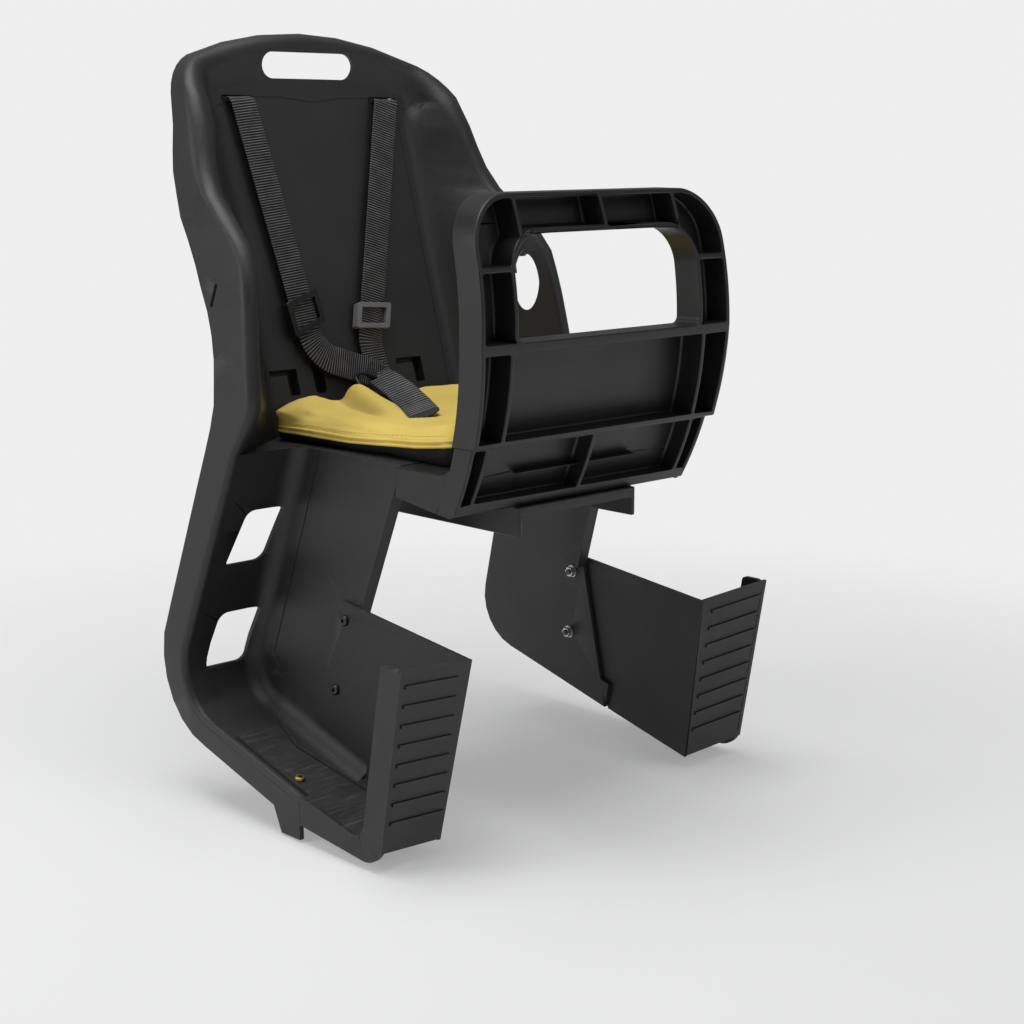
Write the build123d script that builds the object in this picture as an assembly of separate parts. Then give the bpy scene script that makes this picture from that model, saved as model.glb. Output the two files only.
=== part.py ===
from build123d import *
import os
from math import asin, atan, atan2, cos, degrees, radians, sin, sqrt, tan

# A child seat for a bicycle's rear rack, in millimetres. The origin is the middle of the base's
# underside, where it lies on the rack. The seat faces -Y, +X is the child's left and +Z is up.

# Seat shell: one moulding with the backrest, wings, pan and both leg wells
SHELL_WALL = 4.0
PAN_HEIGHT = 40.0
PAN_FRONT = -31.0
PANEL_FOOT = 147.0
RECLINE = 16.2
PANEL_HALF = 110.0
PANEL_STUB = 14.0
PANEL_STEP = 0.5
PANEL_COVE = 18.0
BACK_TOP = 383.0
CROWN_RADIUS = 343.0
CORNER_RADIUS = 55.0
SHOULDER_RISE = 262.0
SHOULDER_HALF = 157.5
WAIST_HALF = 192.0
FOOT_HALF = 211.0
WING_TAPER = 0.58
WING_STEPS = 14
CORNER_STEPS = 6
CROWN_STEPS = 3
LEG_STEPS = 5
HEEL_STEPS = 6
TOP_BAND = 46.0
CORNER_BAND = 31.0
TOP_REACH = 12.0
TOP_RIM = 22.0
# Stations of the wing: height above the pan, reach in front of the backrest panel, depth of the
# turned-back rim and radius of the rolled edge
WING_STATIONS = [
    (0.0, 50.0, 38.0, 6.0),
    (41.0, 83.0, 50.0, 8.0),
    (77.0, 87.0, 47.0, 8.0),
    (115.0, 92.0, 55.0, 8.0),
    (150.0, 94.0, 68.0, 8.5),
    (176.0, 80.0, 66.0, 9.0),
    (201.0, 54.0, 47.0, 10.0),
    (233.0, 41.0, 38.0, 12.0),
    (SHOULDER_RISE, 39.0, 33.0, 13.0),
]

# Leg wells
HEEL_BACK = 160.0
HEEL_HEIGHT = -172.0
HEEL_RADIUS = 46.0
FLOOR_PITCH = 16.0
FLOOR_FRONT = -6.0
INNER_TOP = 123.0
INNER_FLARE = 0.074
INNER_COVE = 16.0
INNER_STUB = 26.0
INNER_STEP = 0.5
LEG_ROLL = 6.0
LEG_RIM = 38.0
FLOOR_RIM = 22.0
TAB_LENGTH = 34.0
TAB_DROP = 12.0
TAB_FLAT = 0.7
WALL_FRONT_LOW = (12.0, -88.0)
WALL_RETURN = 11.0

# Openings in the shell
HANDLE_LENGTH = 102.0
HANDLE_WIDTH = 23.0
HANDLE_HEIGHT = 354.5
STRAP_SLOT_X = 82.0
STRAP_SLOT_ALONG = 297.0
STRAP_SLOT_LENGTH = 33.0
STRAP_SLOT_WIDTH = 6.0
LAP_SLOT_XS = (-90.0, 53.0)
LAP_SLOT_ALONG = 55.0
LAP_SLOT_LENGTH = 30.0
LAP_SLOT_WIDTH = 5.0
LAP_SLOT_DROP = 18.0
LAP_SLOT_STEM = 11.0
SIDE_POCKET_AT = (-52.0, 53.0)
SIDE_POCKET_LENGTH = 38.0
SIDE_POCKET_WIDTH = 12.0
POCKET_DEPTH = 11.0
POCKET_WALL = 2.5
# Corners (x, z) of the two windows in a leg well's rear wall, from the top inner corner round
WINDOWS = (
    ((132.0, -11.0), (167.0, -11.0), (182.0, -57.0), (143.0, -57.0)),
    ((139.0, -101.0), (179.0, -101.0), (189.0, -148.0), (148.0, -148.0)),
)
WINDOW_ROUND = 11.0
WINDOW_SHARP = 2.5
WING_HOLE_LENGTH = 56.0
WING_HOLE_WIDTH = 24.0
WING_HOLE_CENTRE = (154.5, 112.5, 163.0)
WING_HOLE_TURN = 34.4
RIM_SLIT_CENTRE = (135.0, 166.0)
RIM_SLIT_LONG = 20.0
RIM_SLIT_WIDTH = 4.0
RIM_SLIT_SLOPE = 0.25
RIM_HOLE_CENTRE = (131.5, 158.0)
RIM_HOLE_LENGTH = 54.0
RIM_HOLE_WIDTH = 27.0

# Front guard and base
GUARD_TOP = 253.0
GUARD_TRIM = 0.8
GUARD_TOP_FRONT = -122.0
GUARD_BOW_HEIGHT = 141.0
GUARD_BOW_FRONT = -143.0
GUARD_FOOT = 9.0
GUARD_FOOT_FRONT = -107.0
GUARD_DEPTH = 26.0
GUARD_SKIN = 3.5
GUARD_RIB = 4.0
CELL_CORNER = 4.0
GUARD_HALF_TOP = 137.0
GUARD_HALF_BOW = 140.0
GUARD_HALF_FOOT = 134.0
GUARD_CORNER = 42.0
GRIP_HALF = 102.0
GRIP_BOTTOM = 143.0
GRIP_TOP = 222.0
GRIP_CORNER = 30.0
GRIP_FOOT_CORNER = 6.0
MID_RAIL = 8.0
LOWER_RAIL = 66.0
LOWER_STEP = 6.0
LOWER_NARROW = 3.0
BOTTOM_RAIL = 16.0
TOP_RIBS = (-90.0, 3.0, 87.0)
SIDE_RIB_HEIGHT = 197.0
RECESS_HALF = 108.0
FOOT_RIBS = (-116.0, 0.0, 116.0)
GUARD_COVE = 20.0
BASE_WALL = 4.0
BASE_GAP = 2.0
BASE_HALF = 108.0
BASE_REAR = 95.0
BASE_FLANGE = 18.0
SIDE_BOTTOM = ((-97.0, 7.0), (-33.0, 16.0))
RACK_HALF = 67.0
RACK_FRONT = -106.0
SKIRT_DROP = 15.0
SKIRT_REAR = 60.0
RACK_BOLT_X = 40.0
RACK_BOLT_Y = 55.0
RACK_BOLT_HOLE = 6.6

# Footrests
REST_WALL = 3.0
REST_GAP = 0.3
REST_TOP_REAR = (38.0, -77.5)
REST_MID_REAR = (52.0, -153.0)
REST_LOW_REAR = 57.0
REST_LIFT = 18.0
REST_CORNER = 10.0
REST_FLOOR_TOE = -236.0
# Plan of the floor plate behind the toe box, (x, y)
PLATE_MARGIN = 8.0
PLATE_POINTS = (
    (FOOT_HALF - PLATE_MARGIN, 88.0),
    (157.0, 88.0),
    (167.0, 52.0),
    (158.0, -7.0),
)
PLATE_BEAD = 2.4
PLATE_BEAD_RISE = 1.8
PLATE_BEAD_ROOT = 0.5
TOE_INNER_X = 131.0
TOE_TOP = (-124.0, -97.0)
TOE_BOTTOM = (-98.3, -245.0)
TOE_SKEW = (FOOT_HALF - TOE_INNER_X, -8.0, 7.5)
TOE_BAND = 24.0
TOE_BAND_WALL = 4.0
TOE_CORNER = 22.0
TOE_TOP_CORNER = 8.0
TOE_INNER_CORNER = 14.0
TOE_RIM_BOTTOM = (-241.0, -251.0)
TOE_RIBS = 8
TOE_RIB_RISE = 1.4
TOE_RIB_WIDTH = 2.6
TOE_RIB_RANGE = (0.08, 0.83)
TOE_RIB_ENDS = (0.2, 0.93)

# Fasteners
SCREW_SHANK = 5.0
SCREW_HEAD = 9.0
SCREW_HEAD_TALL = 2.6
SCREW_HEAD_DOME = 1.56
SCREW_SOCKET_FLOOR = 1.04
SCREW_SOCKET = 3.2
SCREW_END = 1.5
HOLE_PLAY = 0.8
THREAD_PLAY = 0.2
NUT_FLATS = 8.0
NUT_TALL = 4.0
WASHER_WIDE = 11.0
WASHER_THICK = 1.0
WALL_SCREWS = ((26.0, -94.0), (34.0, -153.0))
FLOOR_SCREW = (196.0, 13.0)
SHELL_SCREW_X = 85.0
SHELL_SCREW_YS = (5.0, 80.0)
SHELL_SCREW_SHANK = 6.0
SHELL_SCREW_HEAD = 11.6
SHELL_NUT_FLATS = 10.0
SHELL_NUT_TALL = 5.0
SHELL_WASHER_WIDE = 13.0

# Soft parts and the harness
CUSHION_THICK = 23.7
CUSHION_HALF = 112.0
CUSHION_FRONT = -80.0
CUSHION_REAR = 142.0
CUSHION_CORNER = 26.0
CUSHION_EDGE = 8.0
SOFT_GAP = 0.3
STRAP_WIDTH = 26.0
STRAP_THICK = 1.6
LEFT_STRAP_LIFT = 5.0
RIGHT_STRAP_LIFT = LEFT_STRAP_LIFT + STRAP_THICK
# Places on the backrest: across it and up along it
RIGHT_ADJUSTER_AT = (-61.0, 104.0)
LEFT_ADJUSTER_AT = (15.0, 97.0)
RIGHT_BEND = 37.0
LEFT_BEND = 23.0
RIGHT_BEND_RADIUS = 34.0
LEFT_BEND_RADIUS = 30.0
RIGHT_STRAP_END = (12.0, 42.0)
LEFT_STRAP_END = (10.0, 38.0)
PIN_DIAMETER = 6.0
PIN_OVERHANG = 9.0
PIN_PLAY = 0.3
TONGUE_START = (4.0, 150.0)
TONGUE_RISE = 19.0
TONGUE_RAMP = 30.0
TONGUE_ROUND = 14.0
TONGUE_TIP = (-44.0, 22.0)
ADJUSTER_RAIL = 5.0
ADJUSTER_LONG = 31.0
ADJUSTER_BAR = 6.0
ADJUSTER_BAR_THICK = 3.0
ADJUSTER_BACK_THICK = 2.2
ADJUSTER_CORNER = 3.0
SLIDE_GAP = 0.35
KEEPER_LONG = 7.0
KEEPER_WALL = 2.4
KEEPER_PLACE = 14.0


def panel_y(z):
    """Front of the backrest panel at a height."""
    return PANEL_FOOT + (z - PAN_HEIGHT) * tan(radians(RECLINE))


def inner_x(z):
    """Foot side of the leg well's inner wall at a height."""
    return INNER_TOP + (PAN_HEIGHT - z) * INNER_FLARE


def side_prism(points, x0, x1):
    """Outline in the YZ plane, extruded from x0 to x1."""
    face = make_face(Polyline(*points, close=True)) if isinstance(points, list) else points
    return extrude(Plane(origin=(x0, 0, 0), x_dir=(0, 1, 0), z_dir=(1, 0, 0)) * face, x1 - x0)


def front_prism(face, y0, y1):
    """Sketch drawn as (x, z), extruded from y0 back to y1."""
    if isinstance(face, list):
        face = make_face(Polyline(*face, close=True))
    return extrude(Plane(origin=(0, y1, 0), x_dir=(1, 0, 0), z_dir=(0, -1, 0)) * face, y1 - y0)


def block(x0, x1, y0, y1, z0, z1):
    """Box between two corners."""
    middle = ((x0 + x1) / 2, (y0 + y1) / 2, (z0 + z1) / 2)
    return Pos(*middle) * Box(x1 - x0, y1 - y0, z1 - z0)


def both_sides(shape):
    """A shape and its mirror image across the seat's middle plane."""
    return shape + mirror(shape, about=Plane.YZ)


def path_to_right(points, distance):
    """An open path of straight runs, moved to its own right."""
    runs = []
    for start, end in zip(points, points[1:]):
        along = (end - start).normalized()
        runs.append((start + Vector(along.Y, -along.X) * distance, along))
    moved = [runs[0][0]]
    for (p, d), (q, e) in zip(runs, runs[1:]):
        gap = q - p
        moved.append(p + d * ((gap.X * e.Y - gap.Y * e.X) / (d.X * e.Y - d.Y * e.X)))
    last = runs[-1][1]
    moved.append(points[-1] + Vector(last.Y, -last.X) * distance)
    return moved


def rim_section(plane, ridge, rear, roll, corner, end, cove):
    """Section of the shell wall from the rim's rear edge over its rolled front edge to the inside."""
    centre = Vector(-roll, ridge + roll)
    toward = centre - corner
    slope = atan2(toward.Y, toward.X) - asin(roll / toward.length)
    edge = Vector(0, corner.Y - corner.X * tan(slope))
    face_points = [Vector(0, rear), edge, corner, end]
    back_points = path_to_right(face_points, SHELL_WALL)
    face_line = FilletPolyline(*face_points, radius=(roll, cove))
    back_line = FilletPolyline(*back_points, radius=(roll - SHELL_WALL, cove + SHELL_WALL))
    caps = [Line(face_points[0], back_points[0]), Line(face_points[-1], back_points[-1])]
    return plane * make_face([face_line, back_line] + caps)


def back_section(point, outward, reach, rim, roll, band):
    """Section of the backrest's edge at an outline point (x, z), square to the outline."""
    normal = Vector(outward[0], 0, outward[1])
    plane = Plane(origin=(point[0], 0, point[1]), x_dir=normal, z_dir=normal.cross(Vector(0, 1, 0)))
    ridge = panel_y(point[1]) - reach
    corner = Vector(-band, panel_y(point[1] - band * normal.Z))
    stub = band + PANEL_STUB
    end = Vector(-stub, panel_y(point[1] - stub * normal.Z))
    return rim_section(plane, ridge, ridge + rim, roll, corner, end, PANEL_COVE)


def wing_half(rise):
    """Half width over the rims at a height above the pan."""
    share = rise / SHOULDER_RISE
    return WAIST_HALF - (WAIST_HALF - SHOULDER_HALF) * (WING_TAPER * share + (1 - WING_TAPER) * share**2)


def crown_corner():
    """Centre of the top corner's arc, tangent to the shell's side and to its crowned top."""
    lean = (wing_half(SHOULDER_RISE) - wing_half(SHOULDER_RISE - 1.0))
    side = Vector(1, -lean).normalized()
    side_out = side.X * SHOULDER_HALF + side.Y * (PAN_HEIGHT + SHOULDER_RISE) - CORNER_RADIUS
    crown = Vector(0, BACK_TOP - CROWN_RADIUS)
    foot = side * (side_out - side.dot(crown)) + crown
    reach = CROWN_RADIUS - CORNER_RADIUS
    along = Vector(-side.Y, side.X)
    return foot + along * sqrt(reach**2 - (foot - crown).length ** 2), atan2(side.Y, side.X)


def eased(rows, place, column):
    """A column of the rows at a place between them, on a curve that doesn't overshoot."""
    places = [row[0] for row in rows]
    values = [row[column] for row in rows]
    slopes = []
    for index in range(len(rows) - 1):
        slopes.append((values[index + 1] - values[index]) / (places[index + 1] - places[index]))
    tangents = [slopes[0]]
    for before, after in zip(slopes, slopes[1:]):
        level = before * after <= 0
        tangents.append(0.0 if level else 2 * before * after / (before + after))
    tangents.append(slopes[-1])
    index = 0
    while index < len(rows) - 2 and place > places[index + 1]:
        index += 1
    span = places[index + 1] - places[index]
    t = (place - places[index]) / span
    start = values[index] * (1 + 2 * t) * (1 - t) ** 2 + tangents[index] * span * t * (1 - t) ** 2
    end = values[index + 1] * t**2 * (3 - 2 * t) + tangents[index + 1] * span * t**2 * (t - 1)
    return start + end


def upper_sections():
    """Sections from the pan up the wing, round the top corner and along the crown to the middle."""
    sections = []
    for step in range(WING_STEPS + 1):
        rise = SHOULDER_RISE * step / WING_STEPS
        reach, rim, roll = [eased(WING_STATIONS, rise, column) for column in (1, 2, 3)]
        half = wing_half(rise)
        point = (half, PAN_HEIGHT + rise)
        sections.append(back_section(point, (1, 0), reach, rim, roll, half - PANEL_HALF))
    centre, start = crown_corner()
    crown_z = BACK_TOP - CROWN_RADIUS
    finish = atan2(centre.Y - crown_z, centre.X)
    _, side_reach, side_rim, side_roll = WING_STATIONS[-1]
    bands = [(0.0, SHOULDER_HALF - PANEL_HALF), (0.5, CORNER_BAND), (1.0, CORNER_BAND), (2.0, TOP_BAND)]
    for step in range(1, CORNER_STEPS + 1):
        share = step / CORNER_STEPS
        angle = start + (finish - start) * share
        outward = (cos(angle), sin(angle))
        point = (centre.X + CORNER_RADIUS * outward[0], centre.Y + CORNER_RADIUS * outward[1])
        reach = side_reach + (TOP_REACH - side_reach) * share
        rim = side_rim + (TOP_RIM - side_rim) * share
        band = eased(bands, share, 1)
        sections.append(back_section(point, outward, reach, rim, side_roll, band))
    for step in range(1, CROWN_STEPS + 1):
        share = step / CROWN_STEPS
        angle = finish + (radians(90) - finish) * share
        outward = (cos(angle), sin(angle))
        point = (CROWN_RADIUS * outward[0], crown_z + CROWN_RADIUS * outward[1])
        band = eased(bands, 1.0 + share, 1)
        sections.append(back_section(point, outward, TOP_REACH, TOP_RIM, side_roll, band))
    return sections


def leg_line():
    """Side view of the leg well's surface at the rim: points (y, z) with the outward angle there."""
    top = Vector(panel_y(PAN_HEIGHT) - WING_STATIONS[0][1], PAN_HEIGHT)
    heel = Vector(HEEL_BACK, HEEL_HEIGHT)
    down = (heel - top).normalized()
    forward = Vector(-cos(radians(FLOOR_PITCH)), -sin(radians(FLOOR_PITCH)))
    first = atan2(down.X, -down.Y)
    last = radians(FLOOR_PITCH - 90)
    tangent = HEEL_RADIUS * tan((first - last) / 2)
    start = heel - down * tangent
    finish = heel + forward * tangent
    centre = start - Vector(cos(first), sin(first)) * HEEL_RADIUS
    front = finish + forward * ((finish.X - FLOOR_FRONT) / cos(radians(FLOOR_PITCH)))
    line = []
    for step in range(LEG_STEPS):
        share = step / LEG_STEPS
        line.append((top + (start - top) * share, first * share))
    for step in range(HEEL_STEPS + 1):
        angle = first + (last - first) * step / HEEL_STEPS
        line.append((centre + Vector(cos(angle), sin(angle)) * HEEL_RADIUS, angle))
    line.append((front, last))
    return line


def leg_half(z):
    """Half width over the leg well's rim at a height."""
    share = (PAN_HEIGHT - z) / (PAN_HEIGHT - leg_line()[LEG_STEPS][0].Y)
    return WAIST_HALF + (FOOT_HALF - WAIST_HALF) * min(1.0, share)


def leg_sections():
    """Sections of a leg well from the pan down its rear wall, round the heel and along the floor."""
    line = leg_line()
    sections = []
    for index, (point, angle) in enumerate(line):
        half = leg_half(point.Y)
        behind = Vector(0, cos(angle), sin(angle))
        plane = Plane(
            origin=(half, point.X, point.Y),
            x_dir=(1, 0, 0),
            z_dir=Vector(1, 0, 0).cross(behind),
        )
        rim = LEG_RIM + (FLOOR_RIM - LEG_RIM) * min(1.0, index / (LEG_STEPS + HEEL_STEPS))
        corner = Vector(inner_x(point.Y) - half, 0)
        end = Vector(inner_x(point.Y - INNER_STUB * sin(angle)) - half, -INNER_STUB)
        sections.append(rim_section(plane, 0, rim, LEG_ROLL, corner, end, INNER_COVE))
    return sections


def floor_z(y):
    """Top of the leg well's floor at the rim."""
    point = leg_line()[-1][0]
    return point.Y + (y - point.X) * tan(radians(FLOOR_PITCH))


def inner_slab(offset, thick):
    """Slanted slab along the leg well's inner wall, its foot side moved out by offset."""
    low = 2 * HEEL_HEIGHT
    points = [
        (inner_x(PAN_HEIGHT) + offset, PAN_HEIGHT),
        (inner_x(low) + offset, low),
        (inner_x(low) + offset - thick, low),
        (inner_x(PAN_HEIGHT) + offset - thick, PAN_HEIGHT),
    ]
    return front_prism(points, 2 * GUARD_BOW_FRONT, 2 * HEEL_BACK)


def panel_plane(lift):
    """Plane along the backrest panel, lifted off its front: x across, y up along the panel."""
    lean = radians(RECLINE)
    plane = Plane(origin=(0, PANEL_FOOT, PAN_HEIGHT), x_dir=(1, 0, 0), z_dir=(0, -cos(lean), sin(lean)))
    return plane.offset(lift)


def through_panel(face):
    """Cutter through the backrest panel for an outline drawn on it."""
    reach = 4 * SHELL_WALL
    return extrude(panel_plane(-reach) * face, 2 * reach)


def window(corners):
    """Slanted window outline, rounded at two opposite corners."""
    top_inner, top_outer, low_outer, low_inner = [Vector(*corner) for corner in corners]
    top = (top_inner + top_outer) * 0.5
    low = (low_inner + low_outer) * 0.5
    outer = FilletPolyline(top, top_outer, low_outer, low, radius=(WINDOW_ROUND, WINDOW_SHARP))
    inner = FilletPolyline(top, top_inner, low_inner, low, radius=(WINDOW_SHARP, WINDOW_ROUND))
    return make_face([outer, inner])


def pocket_outlines():
    """Outlines of the lap strap pockets and of the side pocket, drawn on the panel."""
    stem_tall = LAP_SLOT_DROP + LAP_SLOT_WIDTH
    outlines = []
    for x in LAP_SLOT_XS:
        stem_x = x + (LAP_SLOT_LENGTH - LAP_SLOT_STEM) / 2
        bar = Pos(x, LAP_SLOT_ALONG) * Rectangle(LAP_SLOT_LENGTH, LAP_SLOT_WIDTH)
        stem = Pos(stem_x, LAP_SLOT_ALONG - LAP_SLOT_DROP / 2) * Rectangle(LAP_SLOT_STEM, stem_tall)
        outlines.append(bar + stem)
    side = RectangleRounded(SIDE_POCKET_WIDTH, SIDE_POCKET_LENGTH, SIDE_POCKET_WIDTH / 4)
    outlines.append(Pos(*SIDE_POCKET_AT) * side)
    return outlines


def pocket_boxes():
    """Closed boxes behind the panel that the strap pockets are sunk into."""
    boxes = []
    for outline in pocket_outlines():
        limits = outline.bounding_box()
        centre = limits.center()
        face = Rectangle(limits.size.X + 2 * POCKET_WALL, limits.size.Y + 2 * POCKET_WALL)
        plane = panel_plane(-POCKET_DEPTH - POCKET_WALL)
        boxes.append(extrude(plane * (Pos(centre.X, centre.Y) * face), POCKET_DEPTH))
    return boxes


def shell_openings():
    """Handle, strap slots, strap pockets, leg well windows, wing holes, rim slit and rim hole."""
    far = 2 * HEEL_BACK
    handle = Pos(0, HANDLE_HEIGHT) * SlotOverall(HANDLE_LENGTH, HANDLE_WIDTH)
    cutters = [front_prism(handle, HEEL_BACK, far)]
    slot = RectangleRounded(STRAP_SLOT_LENGTH, STRAP_SLOT_WIDTH, STRAP_SLOT_WIDTH / 3)
    for x in (-STRAP_SLOT_X, STRAP_SLOT_X):
        cutters.append(through_panel(Pos(x, STRAP_SLOT_ALONG) * slot))
    for outline in pocket_outlines():
        cutters.append(extrude(panel_plane(-POCKET_DEPTH) * outline, 2 * POCKET_DEPTH))
    side = []
    leg_front = leg_line()[0][0].X - INNER_COVE
    for corners in WINDOWS:
        side.append(front_prism(window(corners), leg_front, far))
    turn = radians(WING_HOLE_TURN)
    wing = Plane(origin=WING_HOLE_CENTRE, x_dir=(0, 0, 1), z_dir=(cos(turn), sin(turn), 0))
    hole = Ellipse(WING_HOLE_LENGTH / 2, WING_HOLE_WIDTH / 2)
    side.append(extrude(wing * hole, 3 * SHELL_WALL, both=True))
    for cutter in side:
        cutters += [cutter, mirror(cutter, about=Plane.YZ)]

    # The right rim has a slit, and the left rim a hole in line with the wing hole
    rim_half = wing_half(RIM_SLIT_CENTRE[1] - PAN_HEIGHT)
    slope = Rot(0, 0, degrees(atan(RIM_SLIT_SLOPE)))
    slit = Pos(*RIM_SLIT_CENTRE) * slope * SlotOverall(RIM_SLIT_LONG, RIM_SLIT_WIDTH, 90)
    cutters.append(side_prism(slit, -rim_half - SHELL_WALL, -rim_half + 2 * SHELL_WALL))
    rim_hole = Pos(*RIM_HOLE_CENTRE) * Ellipse(RIM_HOLE_WIDTH / 2, RIM_HOLE_LENGTH / 2)
    cutters.append(side_prism(rim_hole, rim_half - 2 * SHELL_WALL, rim_half + SHELL_WALL))
    return cutters


def wall_plane(y, z, offset):
    """Plane on the leg well's inner wall, facing the foot, at an offset from the wall."""
    lean = atan(INNER_FLARE)
    normal = Vector(cos(lean), 0, sin(lean))
    origin = Vector(inner_x(z), y, z) + normal * offset
    return Plane(origin=origin, x_dir=(0, 1, 0), z_dir=normal)


def floor_plane(x, y, offset):
    """Plane along the leg well's floor, facing up, at an offset from the floor."""
    pitch = radians(FLOOR_PITCH)
    normal = Vector(0, -sin(pitch), cos(pitch))
    return Plane(origin=Vector(x, y, floor_z(y)) + normal * offset, x_dir=(1, 0, 0), z_dir=normal)


def rest_screw_planes():
    """Planes under the heads of the left footrest's wall screws and of its floor screw."""
    stack = REST_GAP + REST_WALL
    return [wall_plane(y, z, stack) for y, z in WALL_SCREWS], floor_plane(*FLOOR_SCREW, stack)


def fastener_holes():
    """Holes for the footrest screws and for the countersunk screws in the pan."""
    walls, floor = rest_screw_planes()
    bore = Cylinder((SCREW_SHANK + HOLE_PLAY) / 2, 6 * SHELL_WALL)
    cutters = []
    for plane in walls + [floor]:
        cutter = plane * bore
        cutters += [cutter, mirror(cutter, about=Plane.YZ)]
    for place in shell_screw_places():
        cutters.append(place * countersunk_screw(HOLE_PLAY))
    return cutters


def shell_screw_places():
    """Where the screws through the pan stand, at the pan's surface."""
    return [Pos(x, y, PAN_HEIGHT) for x in (-SHELL_SCREW_X, SHELL_SCREW_X) for y in SHELL_SCREW_YS]


def countersunk_screw(play):
    """Countersunk screw with its flat head at z = 0, thicker all round by half the play."""
    shank = (SHELL_SCREW_SHANK + play) / 2
    head = (SHELL_SCREW_HEAD + play) / 2
    stack = SHELL_WALL + BASE_WALL + WASHER_THICK + SHELL_NUT_TALL + SCREW_END
    taper = Pos(0, 0, -(head - shank) / 2) * Cone(shank, head, head - shank)
    return taper + Pos(0, 0, -stack / 2) * Cylinder(shank, stack)


def seat_shell():
    """Backrest, wings, pan, leg wells and their turned rims, moulded in one piece."""
    upper = loft(upper_sections(), ruled=True)
    lower = loft(leg_sections(), ruled=True)
    pan_under = PAN_HEIGHT - SHELL_WALL

    # Flat middle of the backrest, a little behind the lofted edge so that the edge reads
    panel_top = BACK_TOP - TOP_BAND - PANEL_STUB / 2
    step = PANEL_STEP
    panel_side = [
        (panel_y(pan_under) + step, pan_under),
        (panel_y(panel_top) + step, panel_top),
        (panel_y(panel_top) + step + SHELL_WALL, panel_top),
        (panel_y(pan_under) + step + SHELL_WALL, pan_under),
    ]
    panel = side_prism(panel_side, 0, PANEL_HALF)

    # Pan, with the corner behind the leg well
    leg_top = leg_line()[0][0].X
    pan_points = [
        (0, PAN_FRONT),
        (INNER_TOP, PAN_FRONT),
        (INNER_TOP, leg_top + SHELL_WALL / 2),
        (WAIST_HALF - LEG_ROLL, leg_top + SHELL_WALL / 2),
        (WAIST_HALF - LEG_ROLL, leg_top + SHELL_WALL),
        (PANEL_HALF, PANEL_FOOT + SHELL_WALL / 2),
        (0, PANEL_FOOT + SHELL_WALL / 2),
    ]
    pan_face = make_face(Polyline(*pan_points, close=True))
    pan = extrude(Pos(0, 0, pan_under) * pan_face, SHELL_WALL)

    # Inner wall of the leg well, with a turned edge in front
    line = leg_line()
    wall_points = [(PAN_FRONT, PAN_HEIGHT), (leg_top, PAN_HEIGHT)]
    wall_points += [(p.X - SHELL_WALL / 2 * cos(a), p.Y - SHELL_WALL / 2 * sin(a)) for p, a in line[1:]]
    wall_points.append(WALL_FRONT_LOW)
    wall = side_prism(wall_points, 0, 2 * FOOT_HALF) & inner_slab(-INNER_STEP, SHELL_WALL - INNER_STEP)
    return_points = [
        (PAN_FRONT, PAN_HEIGHT),
        (PAN_FRONT + SHELL_WALL, PAN_HEIGHT),
        (WALL_FRONT_LOW[0] + SHELL_WALL, WALL_FRONT_LOW[1]),
        WALL_FRONT_LOW,
    ]
    edge = side_prism(return_points, 0, 2 * FOOT_HALF) & inner_slab(-INNER_STEP, WALL_RETURN)

    # Tab under the rim where the footrest begins
    tab_points = [
        (FLOOR_FRONT, floor_z(FLOOR_FRONT) - SHELL_WALL),
        (FLOOR_FRONT + TAB_LENGTH, floor_z(FLOOR_FRONT + TAB_LENGTH) - SHELL_WALL),
        (FLOOR_FRONT + TAB_LENGTH, floor_z(FLOOR_FRONT + TAB_LENGTH) - FLOOR_RIM),
        (FLOOR_FRONT + TAB_LENGTH * TAB_FLAT, floor_z(FLOOR_FRONT) - FLOOR_RIM - TAB_DROP),
        (FLOOR_FRONT, floor_z(FLOOR_FRONT) - FLOOR_RIM - TAB_DROP),
    ]
    tab = side_prism(tab_points, FOOT_HALF - SHELL_WALL, FOOT_HALF)

    half = upper + lower + panel + pan + wall + edge + tab
    return both_sides(half) + pocket_boxes() - shell_openings() - fastener_holes()


def guard_arc(shift):
    """Side view of the guard's front surface, moved back by a shift."""
    return ThreePointArc(
        (GUARD_TOP_FRONT + shift, GUARD_TOP),
        (GUARD_BOW_FRONT + shift, GUARD_BOW_HEIGHT),
        (GUARD_FOOT_FRONT + shift, GUARD_FOOT),
    )


def guard_layer(front, back):
    """Bowed slab between two shifts of the guard's front surface, wider than the guard."""
    first = guard_arc(front)
    second = guard_arc(back)
    face = make_face([first, second, Line(first @ 0, second @ 0), Line(first @ 1, second @ 1)])
    return side_prism(face, -GUARD_HALF_BOW, GUARD_HALF_BOW)


def guard_child_y(z):
    """Child's side of the guard at a height."""
    arc = guard_arc(GUARD_DEPTH)
    reach = arc.arc_center.X + sqrt(arc.radius**2 - (z - arc.arc_center.Y) ** 2)
    return arc.arc_center.X * 2 - reach


def guard_outline():
    """Front view of the guard, rounded at the top and narrower below the lower rail."""
    step = LOWER_RAIL - GUARD_RIB / 2
    share = (step - GUARD_FOOT) / (GUARD_BOW_HEIGHT - GUARD_FOOT)
    step_half = GUARD_HALF_FOOT + (GUARD_HALF_BOW - GUARD_HALF_FOOT) * share
    right = [
        (GUARD_HALF_FOOT - LOWER_NARROW, GUARD_FOOT),
        (step_half - LOWER_NARROW, step),
        (step_half, step),
        (GUARD_HALF_BOW, GUARD_BOW_HEIGHT),
    ]
    top = [(GUARD_HALF_BOW, GUARD_BOW_HEIGHT), (GUARD_HALF_TOP, GUARD_TOP - GUARD_TRIM)]
    top += [(-x, z) for x, z in reversed(top)]
    crown = FilletPolyline(*top, radius=GUARD_CORNER)
    left = [(-x, z) for x, z in reversed(right)]
    return make_face([Polyline(*right), crown, Polyline(*left), Line(left[-1], right[0])])


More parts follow.
